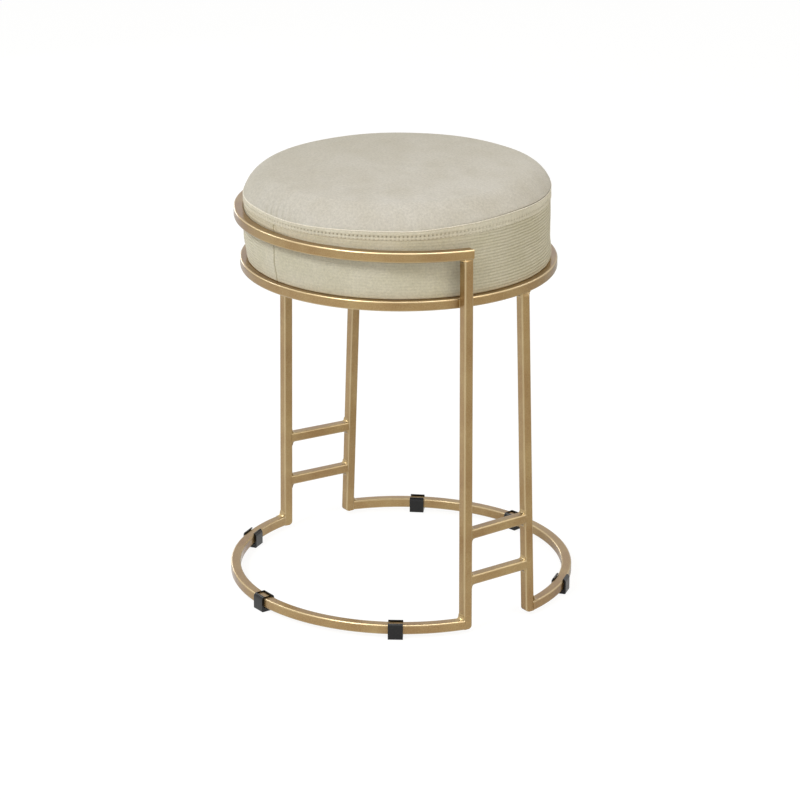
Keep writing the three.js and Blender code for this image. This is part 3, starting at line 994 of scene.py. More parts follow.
@dataclass
class Cushion:
    """Upholstered seat: velvet top, ribbed side band, topstitched welt, seam cord and foam."""

    wardrobe: Wardrobe
    columns: int = 560
    # The upright seam of the band
    seam_turn: float = math.radians(-85.2)
    # The sewn edge isn't level: at each angle in degrees, how many millimetres it stands above
    # the height it was cut for. Behind the cushion, from 50 to -120 degrees, it is a guess.
    sewn_edge: tuple[tuple[float, float], ...] = (
        (-150, 0.0), (-115, 0.6), (-95, 2.6), (-84, 1.2), (-70, 1.6), (-55, 2.8), (-42, 4.0),
        (-28, 3.8), (-20, 5.4), (-12, 7.6), (0, 8.2), (10, 10.8), (20, 10.6), (32, 9.8), (45, 9.8),
        (60, 10.0), (75, 8.4), (90, 5.4), (110, 3.4), (140, 2.0), (180, 0.8),
    )
    edge_wave: float = 0.33 * MM
    # The top leans up a little towards one side
    top_lean: float = 1.2 * MM
    lean_turn: float = math.radians(55.8)
    # The cushion has settled towards the rail. Its foot stays on the board: the shift starts
    # this far above the foot, and is full after this much more.
    settled: tuple[float, float] = (-1.5 * MM, -1.7 * MM)
    held: tuple[float, float] = (4 * MM, 22 * MM)
    # The cloth keeps this far from the rail, swells out over and under it by this much for each
    # metre, and is pressed in up to this far past the rail's ends
    rail_play: float = 0.25 * MM
    rail_ease: float = 1.2
    rail_end: float = 2 * MM
    # Band: ribs, the thickness of its skin, fullness and hems
    rib_pitch: float = 3.5 * MM
    rib_depth: float = 0.6 * MM
    rows_per_rib: int = 6
    band_thickness: float = 2.4 * MM
    fullness: float = 0.9 * MM
    foot_hem: float = 0.3 * MM
    top_hem: float = 0.5 * MM
    slow_wave: float = 0.35 * MM
    fine_wave: float = 0.14 * MM
    # How far the random curves drift along the cloth from one hem to the other
    fine_drift: float = 60 * MM
    sag_drift: float = 40 * MM
    # The ribs are shallower, and their painted shade fainter, about this angle
    rib_fade_turn: float = math.radians(-52)
    rib_fade_width: float = math.radians(54)
    rib_fade_share: float = 0.7
    # Upright seam: how it wanders, its valley, and the swell on each side of it
    seam_wander: tuple[float, float] = (0.55 * MM, 1.1 * MM)
    valley_depth: float = 0.9 * MM
    valley_width: float = 0.75 * MM
    ridge_height: float = 0.35 * MM
    ridge_off: float = 3.0 * MM
    ridge_width: float = 2.4 * MM
    # Folds that hang from the sewn edge beside the upright seam
    fold_height: float = 0.5 * MM
    fold_pitch: float = 9 * MM
    fold_slant: float = 0.3
    fold_spread: float = 19 * MM
    fold_drop: float = 0.22
    # Top: the share of its section at which the rolled edge starts, and the roll's form
    roll_start: float = 0.74
    roll_width: float = 28 * MM
    roll_power: float = 1.15
    crown_fall: float = 4 * MM
    dome_power: float = 2.4
    top_rows: int = 119
    under_rows: int = 28
    top_thickness: float = 2.2 * MM
    tuck: float = 2.6 * MM
    pole_radius: float = 0.05 * MM
    # Distance from the seam along the section, for each radius that is left to it
    rim_scale: float = 0.75
    edge_lift: float = 0.4 * MM
    swell_height: float = 0.4 * MM
    swell_off: float = 2.5 * MM
    swell_width: float = 3.6 * MM
    gather_root: float = 2 * MM
    gather_fade: float = 8 * MM
    gather_height: float = 0.4 * MM
    pinch_height: float = 1.1 * MM
    wrinkle: float = 0.5 * MM
    # Pulls that run in from the sewn edge beside the upright seam
    pull_height: float = 0.9 * MM
    pull_pitch: float = 10 * MM
    pull_slant: float = 0.35
    pull_off: float = -2 * MM
    pull_spread: float = 24 * MM
    pull_root: float = 3 * MM
    pull_fade: float = 10 * MM
    # Painted shade: the top is left lightest towards this angle, and darker away from it
    painted_lit_turn: float = math.radians(-4)
    painted_shade_start: float = 0.55
    painted_shade_share: float = 0.26
    # Cord of the sewn edge
    cord_columns: int = 720
    cord_sides: int = 8
    cord_radius: float = 0.62 * MM
    cord_beat: float = 0.12
    cord_inset: float = 0.45 * MM
    cord_drop: float = 0.2 * MM
    # Welt, a flat strip with two ridges
    welt_rows: int = 27
    columns_per_stitch: int = 5
    welt_inset: float = 0.35 * MM
    welt_ridge: float = 0.35 * MM
    welt_edge: float = 0.5 * MM
    welt_inside: float = 1.4 * MM
    welt_drop: float = 0.3 * MM
    # Stitches, and how deep and wide the dimples are that they pull
    stitch_pitch: float = 4.6 * MM
    # For each row, how far down the welt it runs and how hard it pulls
    stitch_rows: tuple[tuple[float, float], ...] = ((0.88, 0.45), (0.46, 1.0))
    # How much of the sewn edge's rise is gone at the upper row
    stretch_share: float = 0.45
    dimple_depth: float = 0.5 * MM
    dimple_width: float = 0.95 * MM
    # The seam is pulled tightest about this angle
    tight_turn: float = math.radians(-44)
    tight_width: float = math.radians(30)
    tight_share: float = 0.6
    thread_sides: int = 6
    thread_radius: float = 0.4 * MM
    stitch_share: float = 0.72
    stitch_lift: float = 0.28 * MM
    stitch_inset: float = 0.36 * MM
    # Foam
    foam_inset: float = 4.2 * MM
    foam_rows: int = 39
    foam_columns: int = 96

    def __post_init__(self) -> None:
        """Reads the cushion's radius and heights from the construction."""
        low, high = corners("side_band")
        shift_x, shift_y = self.settled
        self.centre = np.array([shift_x, (low[1] + high[1]) / 2 + shift_y, 0.0])
        self.bottom, self.seam = float(low[2]), float(high[2])
        low, high = corners("top_cover")
        self.radius = float(high[0] - low[0]) / 2
        self.girth = FULL_TURN * self.radius
        self.crown = float(high[2])
        low, high = corners("seam_welt")
        self.welt_height = float(high[2] - low[2])
        self.welt_radius = float(high[0] - low[0]) / 2
        self.stitch_count = round(FULL_TURN * self.welt_radius / self.stitch_pitch)
        self.rail_low, self.rail_high = corners("cushion_rail")

    def rail_limit(self, turn: np.ndarray, level: np.ndarray) -> np.ndarray:
        """How far the cushion may reach before the rail presses it in.

        Along each angle it is the distance from the cushion's axis to the rail's inner circle,
        from the chord's formula, less a little play. Above and under the rail the limit eases
        off with the distance, and behind the rail there is none.

        Args:
            turn: Angles.
            level: Heights.

        Returns:
            The greatest distances from the axis.
        """
        low, high = self.rail_low, self.rail_high
        tube, depth = high[2] - low[2], high[1] - low[1]
        outer = (high[0] ** 2 + depth ** 2) / (2 * depth)
        off = self.centre[:2] - np.array([0, low[1] + outer])
        along = off[0] * np.cos(turn) + off[1] * np.sin(turn)
        distance = -along + np.sqrt((outer - tube) ** 2 - off @ off + along ** 2)
        beyond = np.abs(level - (high[2] + low[2]) / 2) - tube / 2
        limit = distance - self.rail_play + self.rail_ease * np.clip(beyond, 0, None)
        beside = self.centre[1] + distance * np.sin(turn) < high[1] + self.rail_end
        return np.where(beside, limit, UNLIMITED)

    def turns(self) -> np.ndarray:
        """Angles of the columns, closest together at the upright seam.

        With t from minus one to one, an angle is the seam's plus pi times a mix of t and its
        cube.
        """
        t = np.linspace(-1, 1, self.columns, endpoint=False)
        return (self.seam_turn + math.pi * (0.3 * t + 0.7 * t ** 3))[None, :]

    def around(
        self, turn: np.ndarray, reach: np.ndarray | float, height: np.ndarray | float
    ) -> np.ndarray:
        """Points about the cushion's axis, which stands over the board's middle at its foot.

        From the foot upwards the axis moves over to where the cushion has settled, by three
        squares less two cubes of the share of the way.

        Args:
            turn: Angles.
            reach: Distances from the axis.
            height: Heights.

        Returns:
            The points.
        """
        turn, reach, height = np.broadcast_arrays(turn, reach, height)
        share = np.clip((height - self.bottom - self.held[0]) / self.held[1], 0, 1)
        back = 1 - share * share * (3 - 2 * share)
        across = reach * np.cos(turn) - self.settled[0] * back
        along = reach * np.sin(turn) - self.settled[1] * back
        return self.centre + np.stack([across, along, height], -1)

    def seam_rise(self, turn: np.ndarray) -> np.ndarray:
        """How far the sewn edge stands above the height it was cut for.

        Straight lines join the given heights, and a bell-weighted mean over 12 degrees to each
        side rounds them. A slow random wave is added.

        Args:
            turn: Angles.

        Returns:
            The rises.
        """
        angles, heights = np.array(self.sewn_edge).T
        nearby = np.degrees(turn)[..., None] + np.linspace(-12, 12, 13)
        raised = np.interp(nearby, angles, heights, period=360)
        rounded = np.average(raised, axis=-1, weights=np.hanning(15)[1:-1])
        return rounded * MM + smooth_noise(turn, FULL_TURN, 7, SEED + 8) * self.edge_wave

    def welt_level(self, turn: np.ndarray, below: np.ndarray | float) -> np.ndarray:
        """Height of a place in the welt.

        The welt is stretched between its top, which follows the sewn edge, and its upper row of
        stitches, which follows it by a little more than half. Under that row it keeps its width.

        Args:
            turn: Angles.
            below: How far under the welt's top the place was before the stretch.

        Returns:
            The heights.
        """
        stretch = np.clip(below / (self.stitch_rows[1][0] * self.welt_height), 0, 1)
        follows = self.seam_rise(turn) * (1 - self.stretch_share * stretch)
        return self.seam - self.welt_drop - below + follows

    def closed_shell(self, name: str, outside: np.ndarray, inside: np.ndarray) -> bpy.types.Object:
        """Makes one closed skin from an outer grid and an inner grid, joined at both hems."""
        grid = np.concatenate([outside, inside[::-1]])
        return add_mesh(name, grid_solid(grid, True), CLOTH_SHARP)

    def side_band(self) -> None:
        """Makes the ribbed side band.

        Its radius is the cushion's, drawn in at the sewn top and at the stapled bottom, with a
        fullness between. Ribs are a row of rounded cords, the absolute sine of the height over the
        pitch, and about one angle they are shallower. At the upright seam, which wanders a little,
        the cloth dips in a narrow valley between two low swells, and slow waves keep it from
        looking turned. The attribute named valley holds painted shade in the rib grooves, the
        seam's valley and the hollows of the folds, fainter where the ribs are shallower.
        """
        height = self.seam - self.bottom
        ribs = round(height / self.rib_pitch)
        share = np.linspace(0, 1, ribs * self.rows_per_rib + 1)[:, None]
        turn = self.turns()
        away = signed_turn(turn - self.seam_turn) * self.radius
        waves = smooth_noise(away, self.girth, 14, SEED) * self.slow_wave
        crossing = smooth_noise(away + share * self.fine_drift, self.girth, 40, SEED + 1, 20)
        level = self.bottom + share * (height + self.seam_rise(turn))
        phase = (level - self.bottom) / height * ribs + 0.05 * crossing
        gap = 1 - np.abs(np.sin(math.pi * phase))
        arch = np.sin(math.pi * share)
        off_seam = away + self.seam_wander[0] * np.sin(11 * share) + self.seam_wander[1] * share
        valley = bell(off_seam, self.valley_width)
        ridge = bell(np.abs(off_seam) - self.ridge_off, self.ridge_width)
        folds = np.cos(FULL_TURN * (off_seam + self.fold_slant * share * height) / self.fold_pitch)
        folds = folds * bell(away, self.fold_spread) * bell(1 - share, self.fold_drop)
        # The ribs and their painted shade fade about one angle
        brushed = bell(signed_turn(turn - self.rib_fade_turn), self.rib_fade_width, 4)
        rib_strength = 1 - self.rib_fade_share * brushed
        reach = (
            self.radius + self.fullness * arch ** 0.8 + waves * arch
            - self.foot_hem * (1 - share) ** 20 - self.top_hem * share ** 18
            + crossing * self.fine_wave + folds * self.fold_height - self.rib_depth * gap * rib_strength
            - self.valley_depth * valley + self.ridge_height * ridge
        )
        reach = np.minimum(reach, self.rail_limit(turn, level))
        inside = self.around(turn, self.radius - self.band_thickness, level)
        piece = self.closed_shell("side_band_velvet", self.around(turn, reach, level), inside)
        # Painted shade: darker in the rib grooves, the seam's valley and the hollows of the folds
        shade = np.maximum(gap ** 1.5 * rib_strength ** 2, valley)
        shade = np.maximum(shade, 0.35 * np.clip(-folds, 0, 1)).clip(0, 1)
        store(piece, "valley", np.concatenate([shade, np.zeros_like(shade)]))
        self.wardrobe.place(piece, SIDE_VELVET, Slot.SIDE, "side_band")

    def top_profile(self, share: np.ndarray) -> tuple[np.ndarray, np.ndarray]:
        """Section of the top from the centre to its sewn edge.

        The crown is a dome that falls with the 2.4th power of the radius. From the shoulder
        outwards the rolled edge is added to it, a quarter of a superellipse down to the seam.

        Args:
            share: Places along the section, from zero at the centre to one at the seam.

        Returns:
            The distance from the axis and the height at each place.
        """
        shoulder = self.radius - self.roll_width
        roll = np.clip((share - self.roll_start) / (1 - self.roll_start), 0, 1) * math.pi / 2
        reach = shoulder * np.clip(share / self.roll_start, 0, 1)
        reach = reach + self.roll_width * np.sin(roll) ** self.roll_power
        dome = self.crown_fall * (reach / shoulder) ** self.dome_power
        edge_fall = self.crown_fall * (self.radius / shoulder) ** self.dome_power
        roll_height = self.crown - self.seam - edge_fall
        return reach, self.crown - dome - roll_height * (1 - np.cos(roll) ** self.roll_power)

    def puckers(self, share: np.ndarray, turn: np.ndarray) -> tuple[np.ndarray, np.ndarray]:
        """Small gathers along the sewn edge, and longer pulls beside the upright seam.

        Gathers are a random curve that fades from the seam inwards, and are pinched harder
        beside the upright seam. Pulls are a slanting cosine that fades both ways. Two slow
        random curves add wrinkles.

        Args:
            share: Places along the top's section.
            turn: Angles.

        Returns:
            How far the cloth is lifted, and the pulls from minus one to one.
        """
        away = signed_turn(turn - self.seam_turn) * self.radius
        from_seam = (1 - share) * self.radius * self.rim_scale
        gathers = smooth_noise(away, self.girth, 60, SEED + 2, 70)
        slow = smooth_noise(away, self.girth, 9, SEED + 3)
        sag = smooth_noise(away + share * self.sag_drift, self.girth, 7, SEED + 4, 2) * share ** 2
        fade = bell(from_seam, self.gather_fade, 1) * np.clip(from_seam / self.gather_root, 0.2, 1)
        pulls = np.cos(FULL_TURN * (away + self.pull_slant * from_seam) / self.pull_pitch)
        pulls = pulls * bell(away - self.pull_off, self.pull_spread)
        pulls = pulls * bell(from_seam, self.pull_fade, 1)
        pinch = self.gather_height + self.pinch_height * bell(away, self.pull_spread)
        wrinkles = self.wrinkle * (slow * share + sag * share * (1 - share) * 4)
        pulled = pulls * self.pull_height * np.clip(from_seam / self.pull_root, 0, 1)
        return gathers * fade * pinch + wrinkles + pulled, pulls

    def top(self) -> None:
        """Makes the velvet top with its crown, rolled edge and the pulls of the sewn seam.

        The edge swells a little over the seam. The sewn edge's rise fades inwards with the
        fifth power, and the whole top leans. The attribute named valley holds painted shade: a
        little on the far side, away from one angle, and in the hollows of the pulls.
        """
        share = np.linspace(0, 1, self.top_rows + 1)[1:, None]
        turn = self.turns()
        reach, height = self.top_profile(share)
        lift, pulls = self.puckers(share, turn)
        from_seam = (1 - share) * self.radius * self.rim_scale
        swell = self.swell_height * bell(from_seam - self.swell_off, self.swell_width)
        reach = reach + np.where(share > self.roll_start, lift * 0.6, 0) + swell
        lean = self.top_lean * np.cos(turn - self.lean_turn) / self.radius
        seam_rise = self.seam_rise(turn)
        height = height + seam_rise * share ** 5 + lean * reach
        height = height + lift * np.clip(1.2 - share, 0, 1) * 1.2
        edge = self.seam + seam_rise + lean * self.radius + self.edge_lift
        back = np.linspace(1, 0.02, self.under_rows + 2)[2:, None]
        under_reach, under_height = self.top_profile(back)
        under_height = under_height + seam_rise * back ** 5 + lean * under_reach
        under_reach = np.clip(under_reach - self.top_thickness, self.pole_radius, None)
        grid = np.concatenate([
            self.around(turn, self.pole_radius, self.crown),
            self.around(turn, reach, height),
            self.around(turn, self.radius - self.tuck, edge),
            self.around(turn, under_reach, under_height - self.top_thickness),
        ])
        piece = add_mesh("top_cover_velvet", grid_solid(grid), CLOTH_SHARP)
        # Painted shade on the far side of the top, and in the hollows of the pulls
        darker = np.clip(self.painted_shade_start - share * np.cos(turn - self.painted_lit_turn), 0, None)
        shade = np.clip(-pulls, 0, 1) / 2 + self.painted_shade_share * darker
        valley = np.zeros(grid.shape[:2])
        valley[1:self.top_rows + 1] = shade.clip(0, 1)
        store(piece, "valley", valley)
        self.wardrobe.place(piece, TOP_VELVET, Slot.TOP, "top_cover")

    def cord(self) -> None:
        """Makes the fine cord of the sewn edge, at the top of the welt.

        It is a round bar bent to the cushion's circle. Its radius swells by about a tenth in a
        random beat, and it goes up and down with the sewn edge.
        """
        turn, around = circle(self.cord_columns)[:, None], circle(self.cord_sides)[None, :]
        beat = self.cord_beat * smooth_noise(turn[:, 0], FULL_TURN, 60, SEED + 9, 90)[:, None]
        radius = self.cord_radius * (1 + beat)
        reach = self.welt_radius - self.cord_inset + beat * MM + radius * np.cos(around)
        height = self.seam + self.seam_rise(turn) - self.cord_drop + radius * np.sin(around)
        grid = self.around(turn, reach, height)
        piece = add_mesh("seam_cord", grid_solid(grid, True), CLOTH_SHARP)
        # Its pale colour is a painted highlight along the sewn edge
        self.wardrobe.place(piece, CORD_PAINTED_HIGHLIGHT, Slot.SIDE)

    def welt(self) -> None:
        """Makes the topstitched welt with a dimple where each stitch pulls it in.

        The section is a flat strip with two soft ridges. A dimple is a small round dip, the
        product of two bell curves, and dimples stand one stitch pitch apart along both rows.
        They are deepest at the front, where the seam is pulled against the rail.
        """
        turn = circle(self.stitch_count * self.columns_per_stitch)[None, :]
        share = np.linspace(0, 1, self.welt_rows)[:, None]
        below = (1 - share) * self.welt_height
        ridge = self.welt_ridge * np.sin(FULL_TURN * share) ** 2
        edge = self.welt_edge * (bell(share, 0.05, 1) + bell(1 - share, 0.05, 1))
        beat = np.cos(turn * self.stitch_count) * 0.5 + 0.5
        rows = sum(
            pull * bell(below - down * self.welt_height, self.dimple_width)
            for down, pull in self.stitch_rows
        )
        tight = bell(signed_turn(turn - self.tight_turn), self.tight_width, 4)
        dimple = rows * beat ** 2 * (1 - self.tight_share + self.tight_share * tight)
        reach = self.welt_radius - self.welt_inset + ridge - edge - self.dimple_depth * dimple
        level = self.welt_level(turn, below)
        inside = self.around(turn, self.radius - self.welt_inside, level)
        piece = self.closed_shell("seam_welt_velvet", self.around(turn, reach, level), inside)
        # Painted shade in the stitch dimples, for the attribute named valley
        store(piece, "valley", np.concatenate([dimple, np.zeros_like(dimple)]).clip(0, 1))
        self.wardrobe.place(piece, WELT_VELVET, Slot.SIDE, "seam_welt")

    def stitches(self) -> None:
        """Makes the stitches: short arched pieces of thread between the dimples of each row.

        A stitch is a rounded bar. Its middle line is an arc of the welt, lifted by half a sine,
        and its radius tapers towards both ends as the square root of a parabola.
        """
        share = np.linspace(0, 1, 6)[None, :, None]
        sides = circle(self.thread_sides)
        pitch = FULL_TURN / self.stitch_count
        starts = (np.arange(self.stitch_count) + 0.5)[:, None, None] * pitch
        turn = starts + (share - 0.5) * self.stitch_share * pitch
        radius = self.thread_radius * np.sqrt(np.clip(1 - (2 * share - 1) ** 2, 0.05, None))
        lift = self.stitch_lift * np.sin(math.pi * share)
        reach = self.welt_radius - self.stitch_inset + lift + radius * np.cos(sides)
        solids = []
        for down, _ in self.stitch_rows:
            level = self.welt_level(turn, down * self.welt_height) + radius * np.sin(sides)
            solids += [grid_solid(grid) for grid in self.around(turn, reach, level)]
        piece = add_mesh("welt_stitches", joined(solids), CLOTH_SHARP)
        self.wardrobe.place(piece, THREAD, Slot.SIDE)

    def foam(self) -> None:
        """Makes the foam block a little inside the covers, its top edge cut round."""
        foot = corners("foam_core")[0][2]
        turn = circle(self.foam_columns)[None, :]
        inset = self.foam_inset
        reach, height = self.top_profile(np.linspace(0, 1, self.foam_rows + 1)[1:, None])
        grid = np.concatenate([
            self.around(turn, self.pole_radius, self.crown - inset),
            self.around(turn, reach * (1 - inset / self.radius), height - inset),
            self.around(turn, self.radius - inset, foot),
        ])
        piece = add_mesh("foam_block", grid_solid(grid))
        self.wardrobe.place(piece, FOAM, Slot.FOAM, "foam_core")

    def build(self) -> None:
        """Makes every layer of the cushion."""
        self.side_band()
        self.top()
        self.cord()
        self.welt()
        self.stitches()
        self.foam()


@dataclass
class FootClips:
    """Six black plastic clips that snap over the base tube, with well rounded shoulders."""

    wardrobe: Wardrobe
    count: int = 6
    length: float = 17 * MM
    pad: float = 5 * MM
    wall: float = 2.4 * MM
    side_gap: float = 0.5 * MM
    lip_reach: float = 1.4 * MM
    lip: float = 1.6 * MM
    # How far the shoulder's rounding runs down the wall and in over the lip
    shoulder: tuple[float, float] = (5 * MM, 3.4 * MM)
    pad_edge: float = 1.4 * MM
    # How far the rounding of the lip's nose runs over its top and under it
    nose: tuple[float, float] = (0.6 * MM, 0.4 * MM)
    arris: float = 0.3 * MM
    corner_steps: int = 9
    sharp: float = 50
    end_bevel: float = 0.5 * MM
    bevel_steps: int = 3
    bevel_from: float = math.radians(60)

    def section(self, top: float) -> np.ndarray:
        """Section across the tube: a pad, two walls and a lip on each wall.

        Every corner is a quarter of an ellipse between the side before it and the side after.

        Args:
            top: Height of the lips' upper face.

        Returns:
            Points as the distance from the tube's middle line and the height, counterclockwise.
        """
        low, high = corners("base_arc_front")
        inside = (high[2] - low[2]) / 2 + self.side_gap
        outside, lip_end, under = inside + self.wall, inside - self.lip_reach, top - self.lip
        # Each corner's place, and how far its rounding reaches back and on
        right = [
            (outside, 0, self.pad_edge, self.pad_edge), (outside, top, *self.shoulder),
            (lip_end, top, self.arris, self.nose[0]), (lip_end, under, self.nose[1], self.arris),
            (inside, under, self.arris, self.arris), (inside, self.pad, self.arris, self.arris),
        ]
        left = [(-x, z, after, before) for x, z, before, after in reversed(right)]
        path = np.array(right + left)
        corner, before, after = path[:, :2], path[:, 2:3], path[:, 3:]
        onward = np.roll(corner, -1, axis=0) - corner
        onward = onward / np.linalg.norm(onward, axis=1, keepdims=True)
        arriving = np.roll(onward, 1, axis=0)
        turn = quarter(self.corner_steps)[None, :, None]
        centre = (corner - arriving * before + onward * after)[:, None]
        way_in, way_out = (arriving * before)[:, None], (onward * after)[:, None]
        return (centre + way_in * np.sin(turn) - way_out * np.cos(turn)).reshape(-1, 2)

    def build(self) -> None:
        """Makes each clip round the tube at its own place, and rounds its ends."""
        for number in range(1, self.count + 1):
            low, high = corners(f"foot_clip_{number}")
            centre = (low + high) / 2 * np.array([1, 1, 0])
            outward = centre / np.linalg.norm(centre)
            along = np.linspace(-0.5, 0.5, 3)[:, None, None] * self.length * np.cross(UP, outward)
            section = self.section(float(high[2]))
            ring = section[:, :1] * outward + section[:, 1:] * UP
            solid = grid_solid(centre + ring + along)
            piece = add_mesh(f"foot_clip_moulding_{number}", solid, self.sharp)
            edge = piece.modifiers.new("ends", "BEVEL")
            edge.width = self.end_bevel
            edge.segments = self.bevel_steps
            edge.limit_method = "ANGLE"
            edge.angle_limit = self.bevel_from
            self.wardrobe.place(piece, CLIP_PLASTIC, Slot.CLIP, f"foot_clip_{number}")


@dataclass
class SeatFixings:
    """What holds the cushion down: board, lining, screws, nuts, and the staples of the lining."""

    wardrobe: Wardrobe
    staple_count: int = 44
    staple_sides: int = 6
    staple_width: float = 10 * MM
    staple_wire: float = 0.35 * MM
    staple_inset: float = 6 * MM

    def staples(self) -> None:
        """Makes the staples of the lining: flat wire bars in a ring under its edge."""
        low, high = corners("dust_cover")
        axis = np.array([0, (low[1] + high[1]) / 2, low[2]])
        reach = (high[0] - low[0]) / 2 - self.staple_inset
        share = np.array([-1.0, -0.94, 0.94, 1.0])[:, None] * self.staple_width / 2
        width = np.array([0.3, 1, 1, 0.3])[:, None, None] * self.staple_wire
        sides = circle(self.staple_sides)[:, None]
        solids = []
        for start in (np.arange(self.staple_count) + 0.5) * FULL_TURN / self.staple_count:
            out = np.array([math.cos(start), math.sin(start), 0.0])
            line = axis + out * reach + np.cross(UP, out) * share
            ring = np.cos(sides) * out + np.sin(sides) * UP
            solids.append(grid_solid(line[:, None] + ring * width))
        self.wardrobe.place(add_mesh("lining_staples", joined(solids)), ZINC, Slot.ZINC)

    def build(self) -> None:
        """Dresses the board, lining, screws and nuts, and adds the staples."""
        finishes = {"seat_board": PLYWOOD, "dust_cover": LINING}
        finishes |= {f"{kind}_{n}": ZINC for n in range(1, 5) for kind in ("seat_screw", "t_nut")}
        for node, finish in finishes.items():
            self.wardrobe.dress(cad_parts[node], finish)
        self.staples()


@dataclass(frozen=True)
class Lamp:
    """A soft lamp that faces the stool.

    Its place is how far it stands to the camera's right, behind the stool and above it.
    """

    name: str
    place: tuple[float, float, float]
    size: float
    watts: float
    colour: str = "#FFFFFF"
    # Second side of a lamp that isn't square
    depth: float | None = None
    gloss_only: bool = False


LAMPS = (
    # The long lamp overhead draws the pale line along the tubes' upper edges. It only shows as
    # a gloss, so that the velvet keeps the level of the soft lamps.
    Lamp("strip_lamp", (0.0, -0.5, 2.2), 3.4, 50, depth=1.4, gloss_only=True),
    Lamp("key_lamp", (-1.65, -1.9, 2.3), 0.9, 48),
    Lamp("low_lamp", (-0.9, -2.6, -0.14), 0.3, 1),
    Lamp("fill_lamp", (2.2, -1.7, 1.5), 1.2, 18, "#FFF3DA"),
    Lamp("right_edge_lamp", (1.9, 0.9, 1.6), 0.5, 4),
    Lamp("overhead_lamp", (0.55, -0.75, 2.3), 0.35, 4),
    Lamp("left_edge_lamp", (-1.9, 0.9, 1.6), 0.5, 9),
    Lamp("back_lamp", (-1.3, 2.2, 0.1), 0.8, 8),
)


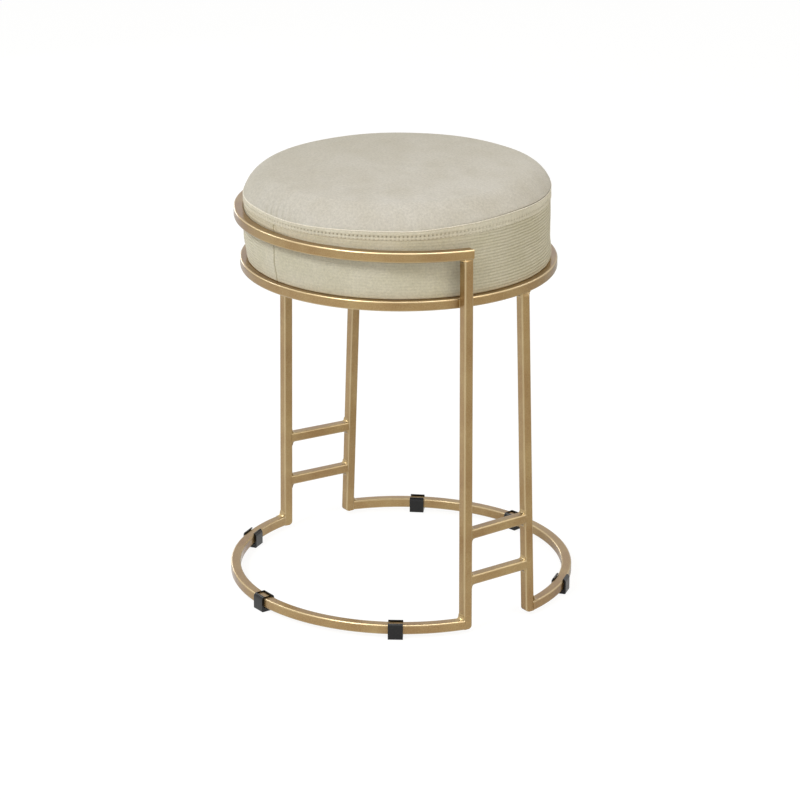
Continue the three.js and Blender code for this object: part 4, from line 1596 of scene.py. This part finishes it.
@dataclass(frozen=True)
class Studio:
    """White studio: pale floor, soft lamps and the camera at the photograph's angle."""

    azimuth: float = math.radians(55.8)
    elevation: float = math.radians(19.7)
    roll: float = 0.004
    distance: float = 3.8
    target_height: float = 0.2133
    target_shift: float = -2.1 * MM
    focal_pixels: float = 3285
    image_pixels: float = 800
    sensor: float = 36.0
    aim_height: float = 0.3
    room_light: float = 0.42
    room_colour: str = "#FFFDF8"
    white: str = "#FFFFFF"
    floor_size: float = 16.0
    floor_paint: str = "#F4F4F2"
    floor_glow: float = 1.12
    floor_lift: float = 0.8
    # The low tubes mirror a glowing pool of the floor, which fades between two radii
    pool_centre: tuple[float, float, float] = (-0.5, -0.75, 0.0)
    pool_radii: tuple[float, float] = (0.6, 1.35)
    pool_glow: float = 0.9

    def directions(self) -> tuple[Vector, Vector, Vector]:
        """Returns the camera's right, up and backward directions before its roll."""
        a, e = self.azimuth, self.elevation
        right = Vector((math.cos(a), math.sin(a), 0))
        back = Vector((math.sin(a) * math.cos(e), -math.cos(a) * math.cos(e), math.sin(e)))
        return right, back.cross(right), back

    def camera(self) -> None:
        """Makes the camera and turns it to the photograph's view."""
        right, up, back = self.directions()
        rolled_right = math.cos(self.roll) * right + math.sin(self.roll) * up
        rolled_up = math.cos(self.roll) * up - math.sin(self.roll) * right
        data = bpy.data.cameras.new("photo_camera")
        data.sensor_width = self.sensor
        data.lens = self.focal_pixels / self.image_pixels * self.sensor
        data.clip_end = 50
        camera = bpy.data.objects.new("photo_camera", data)
        turned = Matrix((rolled_right, rolled_up, back)).transposed().to_4x4()
        target = Vector((0, 0, self.target_height)) + right * self.target_shift
        camera.matrix_world = Matrix.Translation(target + back * self.distance) @ turned
        bpy.context.scene.collection.objects.link(camera)
        bpy.context.scene.camera = camera

    def hang(self, lamp: Lamp) -> None:
        """Makes a lamp that faces the stool.

        Args:
            lamp: The lamp.
        """
        right, _, back = self.directions()
        level_back = Vector((back.x, back.y, 0)).normalized()
        aim = Vector((0, 0, self.aim_height))
        data = bpy.data.lights.new(lamp.name, "AREA")
        data.shape = "RECTANGLE" if lamp.depth else "SQUARE"
        data.size = lamp.size
        data.size_y = lamp.depth or lamp.size
        data.energy = lamp.watts
        data.color = linear(lamp.colour)[:3]
        new = bpy.data.objects.new(lamp.name, data)
        new.visible_camera = False
        new.visible_diffuse = not lamp.gloss_only
        aside, behind, above = lamp.place
        new.location = aim + right * aside - level_back * behind + Vector((0, 0, above))
        new.rotation_euler = (new.location - aim).to_track_quat("Z", "Y").to_euler()
        bpy.context.scene.collection.objects.link(new)

    def world(self) -> None:
        """Makes the room: white to the camera and in reflections, and a soft grey light."""
        world = bpy.data.worlds.new("white_studio")
        bpy.context.scene.world = world
        world.use_nodes = True
        nodes = Nodes(world.node_tree)
        path = nodes.add("LightPath").outputs
        seen = nodes.math("MAXIMUM", path["Is Camera Ray"], path["Is Transmission Ray"])
        white = nodes.math("MAXIMUM", seen, path["Is Glossy Ray"])
        light, backdrop = (
            nodes.add("Background", {"Color": linear(colour), "Strength": strength})
            for colour, strength in ((self.room_colour, self.room_light), (self.white, 1.0))
        )
        nodes.end(nodes.mixed(white, light, backdrop), "OutputWorld")

    def floor(self) -> None:
        """Makes the floor: matt white paint, seen a little brighter than it is lit.

        The lift is for the camera and, close to the stool, for the gloss of the low tubes.
        """
        half = self.floor_size / 2
        square = [(-half, -half, 0), (half, -half, 0), (half, half, 0), (-half, half, 0)]
        mesh = bpy.data.meshes.new("studio_floor")
        mesh.from_pydata(square, [], [(0, 1, 2, 3)])
        floor = bpy.data.objects.new("studio_floor", mesh)
        bpy.context.scene.collection.objects.link(floor)
        material = bpy.data.materials.new("matt_white_studio_paint")
        material.use_nodes = True
        nodes = Nodes(material.node_tree)
        path = nodes.add("LightPath").outputs
        away = nodes.add("VectorMath", {0: nodes.place, 1: self.pool_centre}, operation="DISTANCE")
        pool = nodes.spread(away.outputs["Value"], *self.pool_radii, self.pool_glow, 0.0)
        mirrored = nodes.math("MULTIPLY", path["Is Glossy Ray"], pool)
        seen = nodes.math("MULTIPLY_ADD", path["Is Camera Ray"], self.floor_lift, mirrored)
        paint = nodes.add("BsdfDiffuse", {"Color": linear(self.floor_paint)})
        glow = nodes.add("Emission", {"Color": linear(self.white), "Strength": self.floor_glow})
        nodes.end(nodes.mixed(seen, paint, glow))
        mesh.materials.append(material)

    def build(self) -> None:
        """Makes the camera, the lamps, the world and the floor."""
        bpy.context.scene.view_settings.view_transform = "Standard"
        self.camera()
        for lamp in LAMPS:
            self.hang(lamp)
        self.world()
        self.floor()


def main() -> None:
    """Builds the stool's pieces in order, and the studio round them."""
    logging.basicConfig(level=logging.INFO, format="%(name)s %(message)s")
    wardrobe = Wardrobe()
    Studio().build()
    TubeFrame(wardrobe).build()
    Cushion(wardrobe).build()
    FootClips(wardrobe).build()
    SeatFixings(wardrobe).build()


if __name__ == "__main__":
    main()
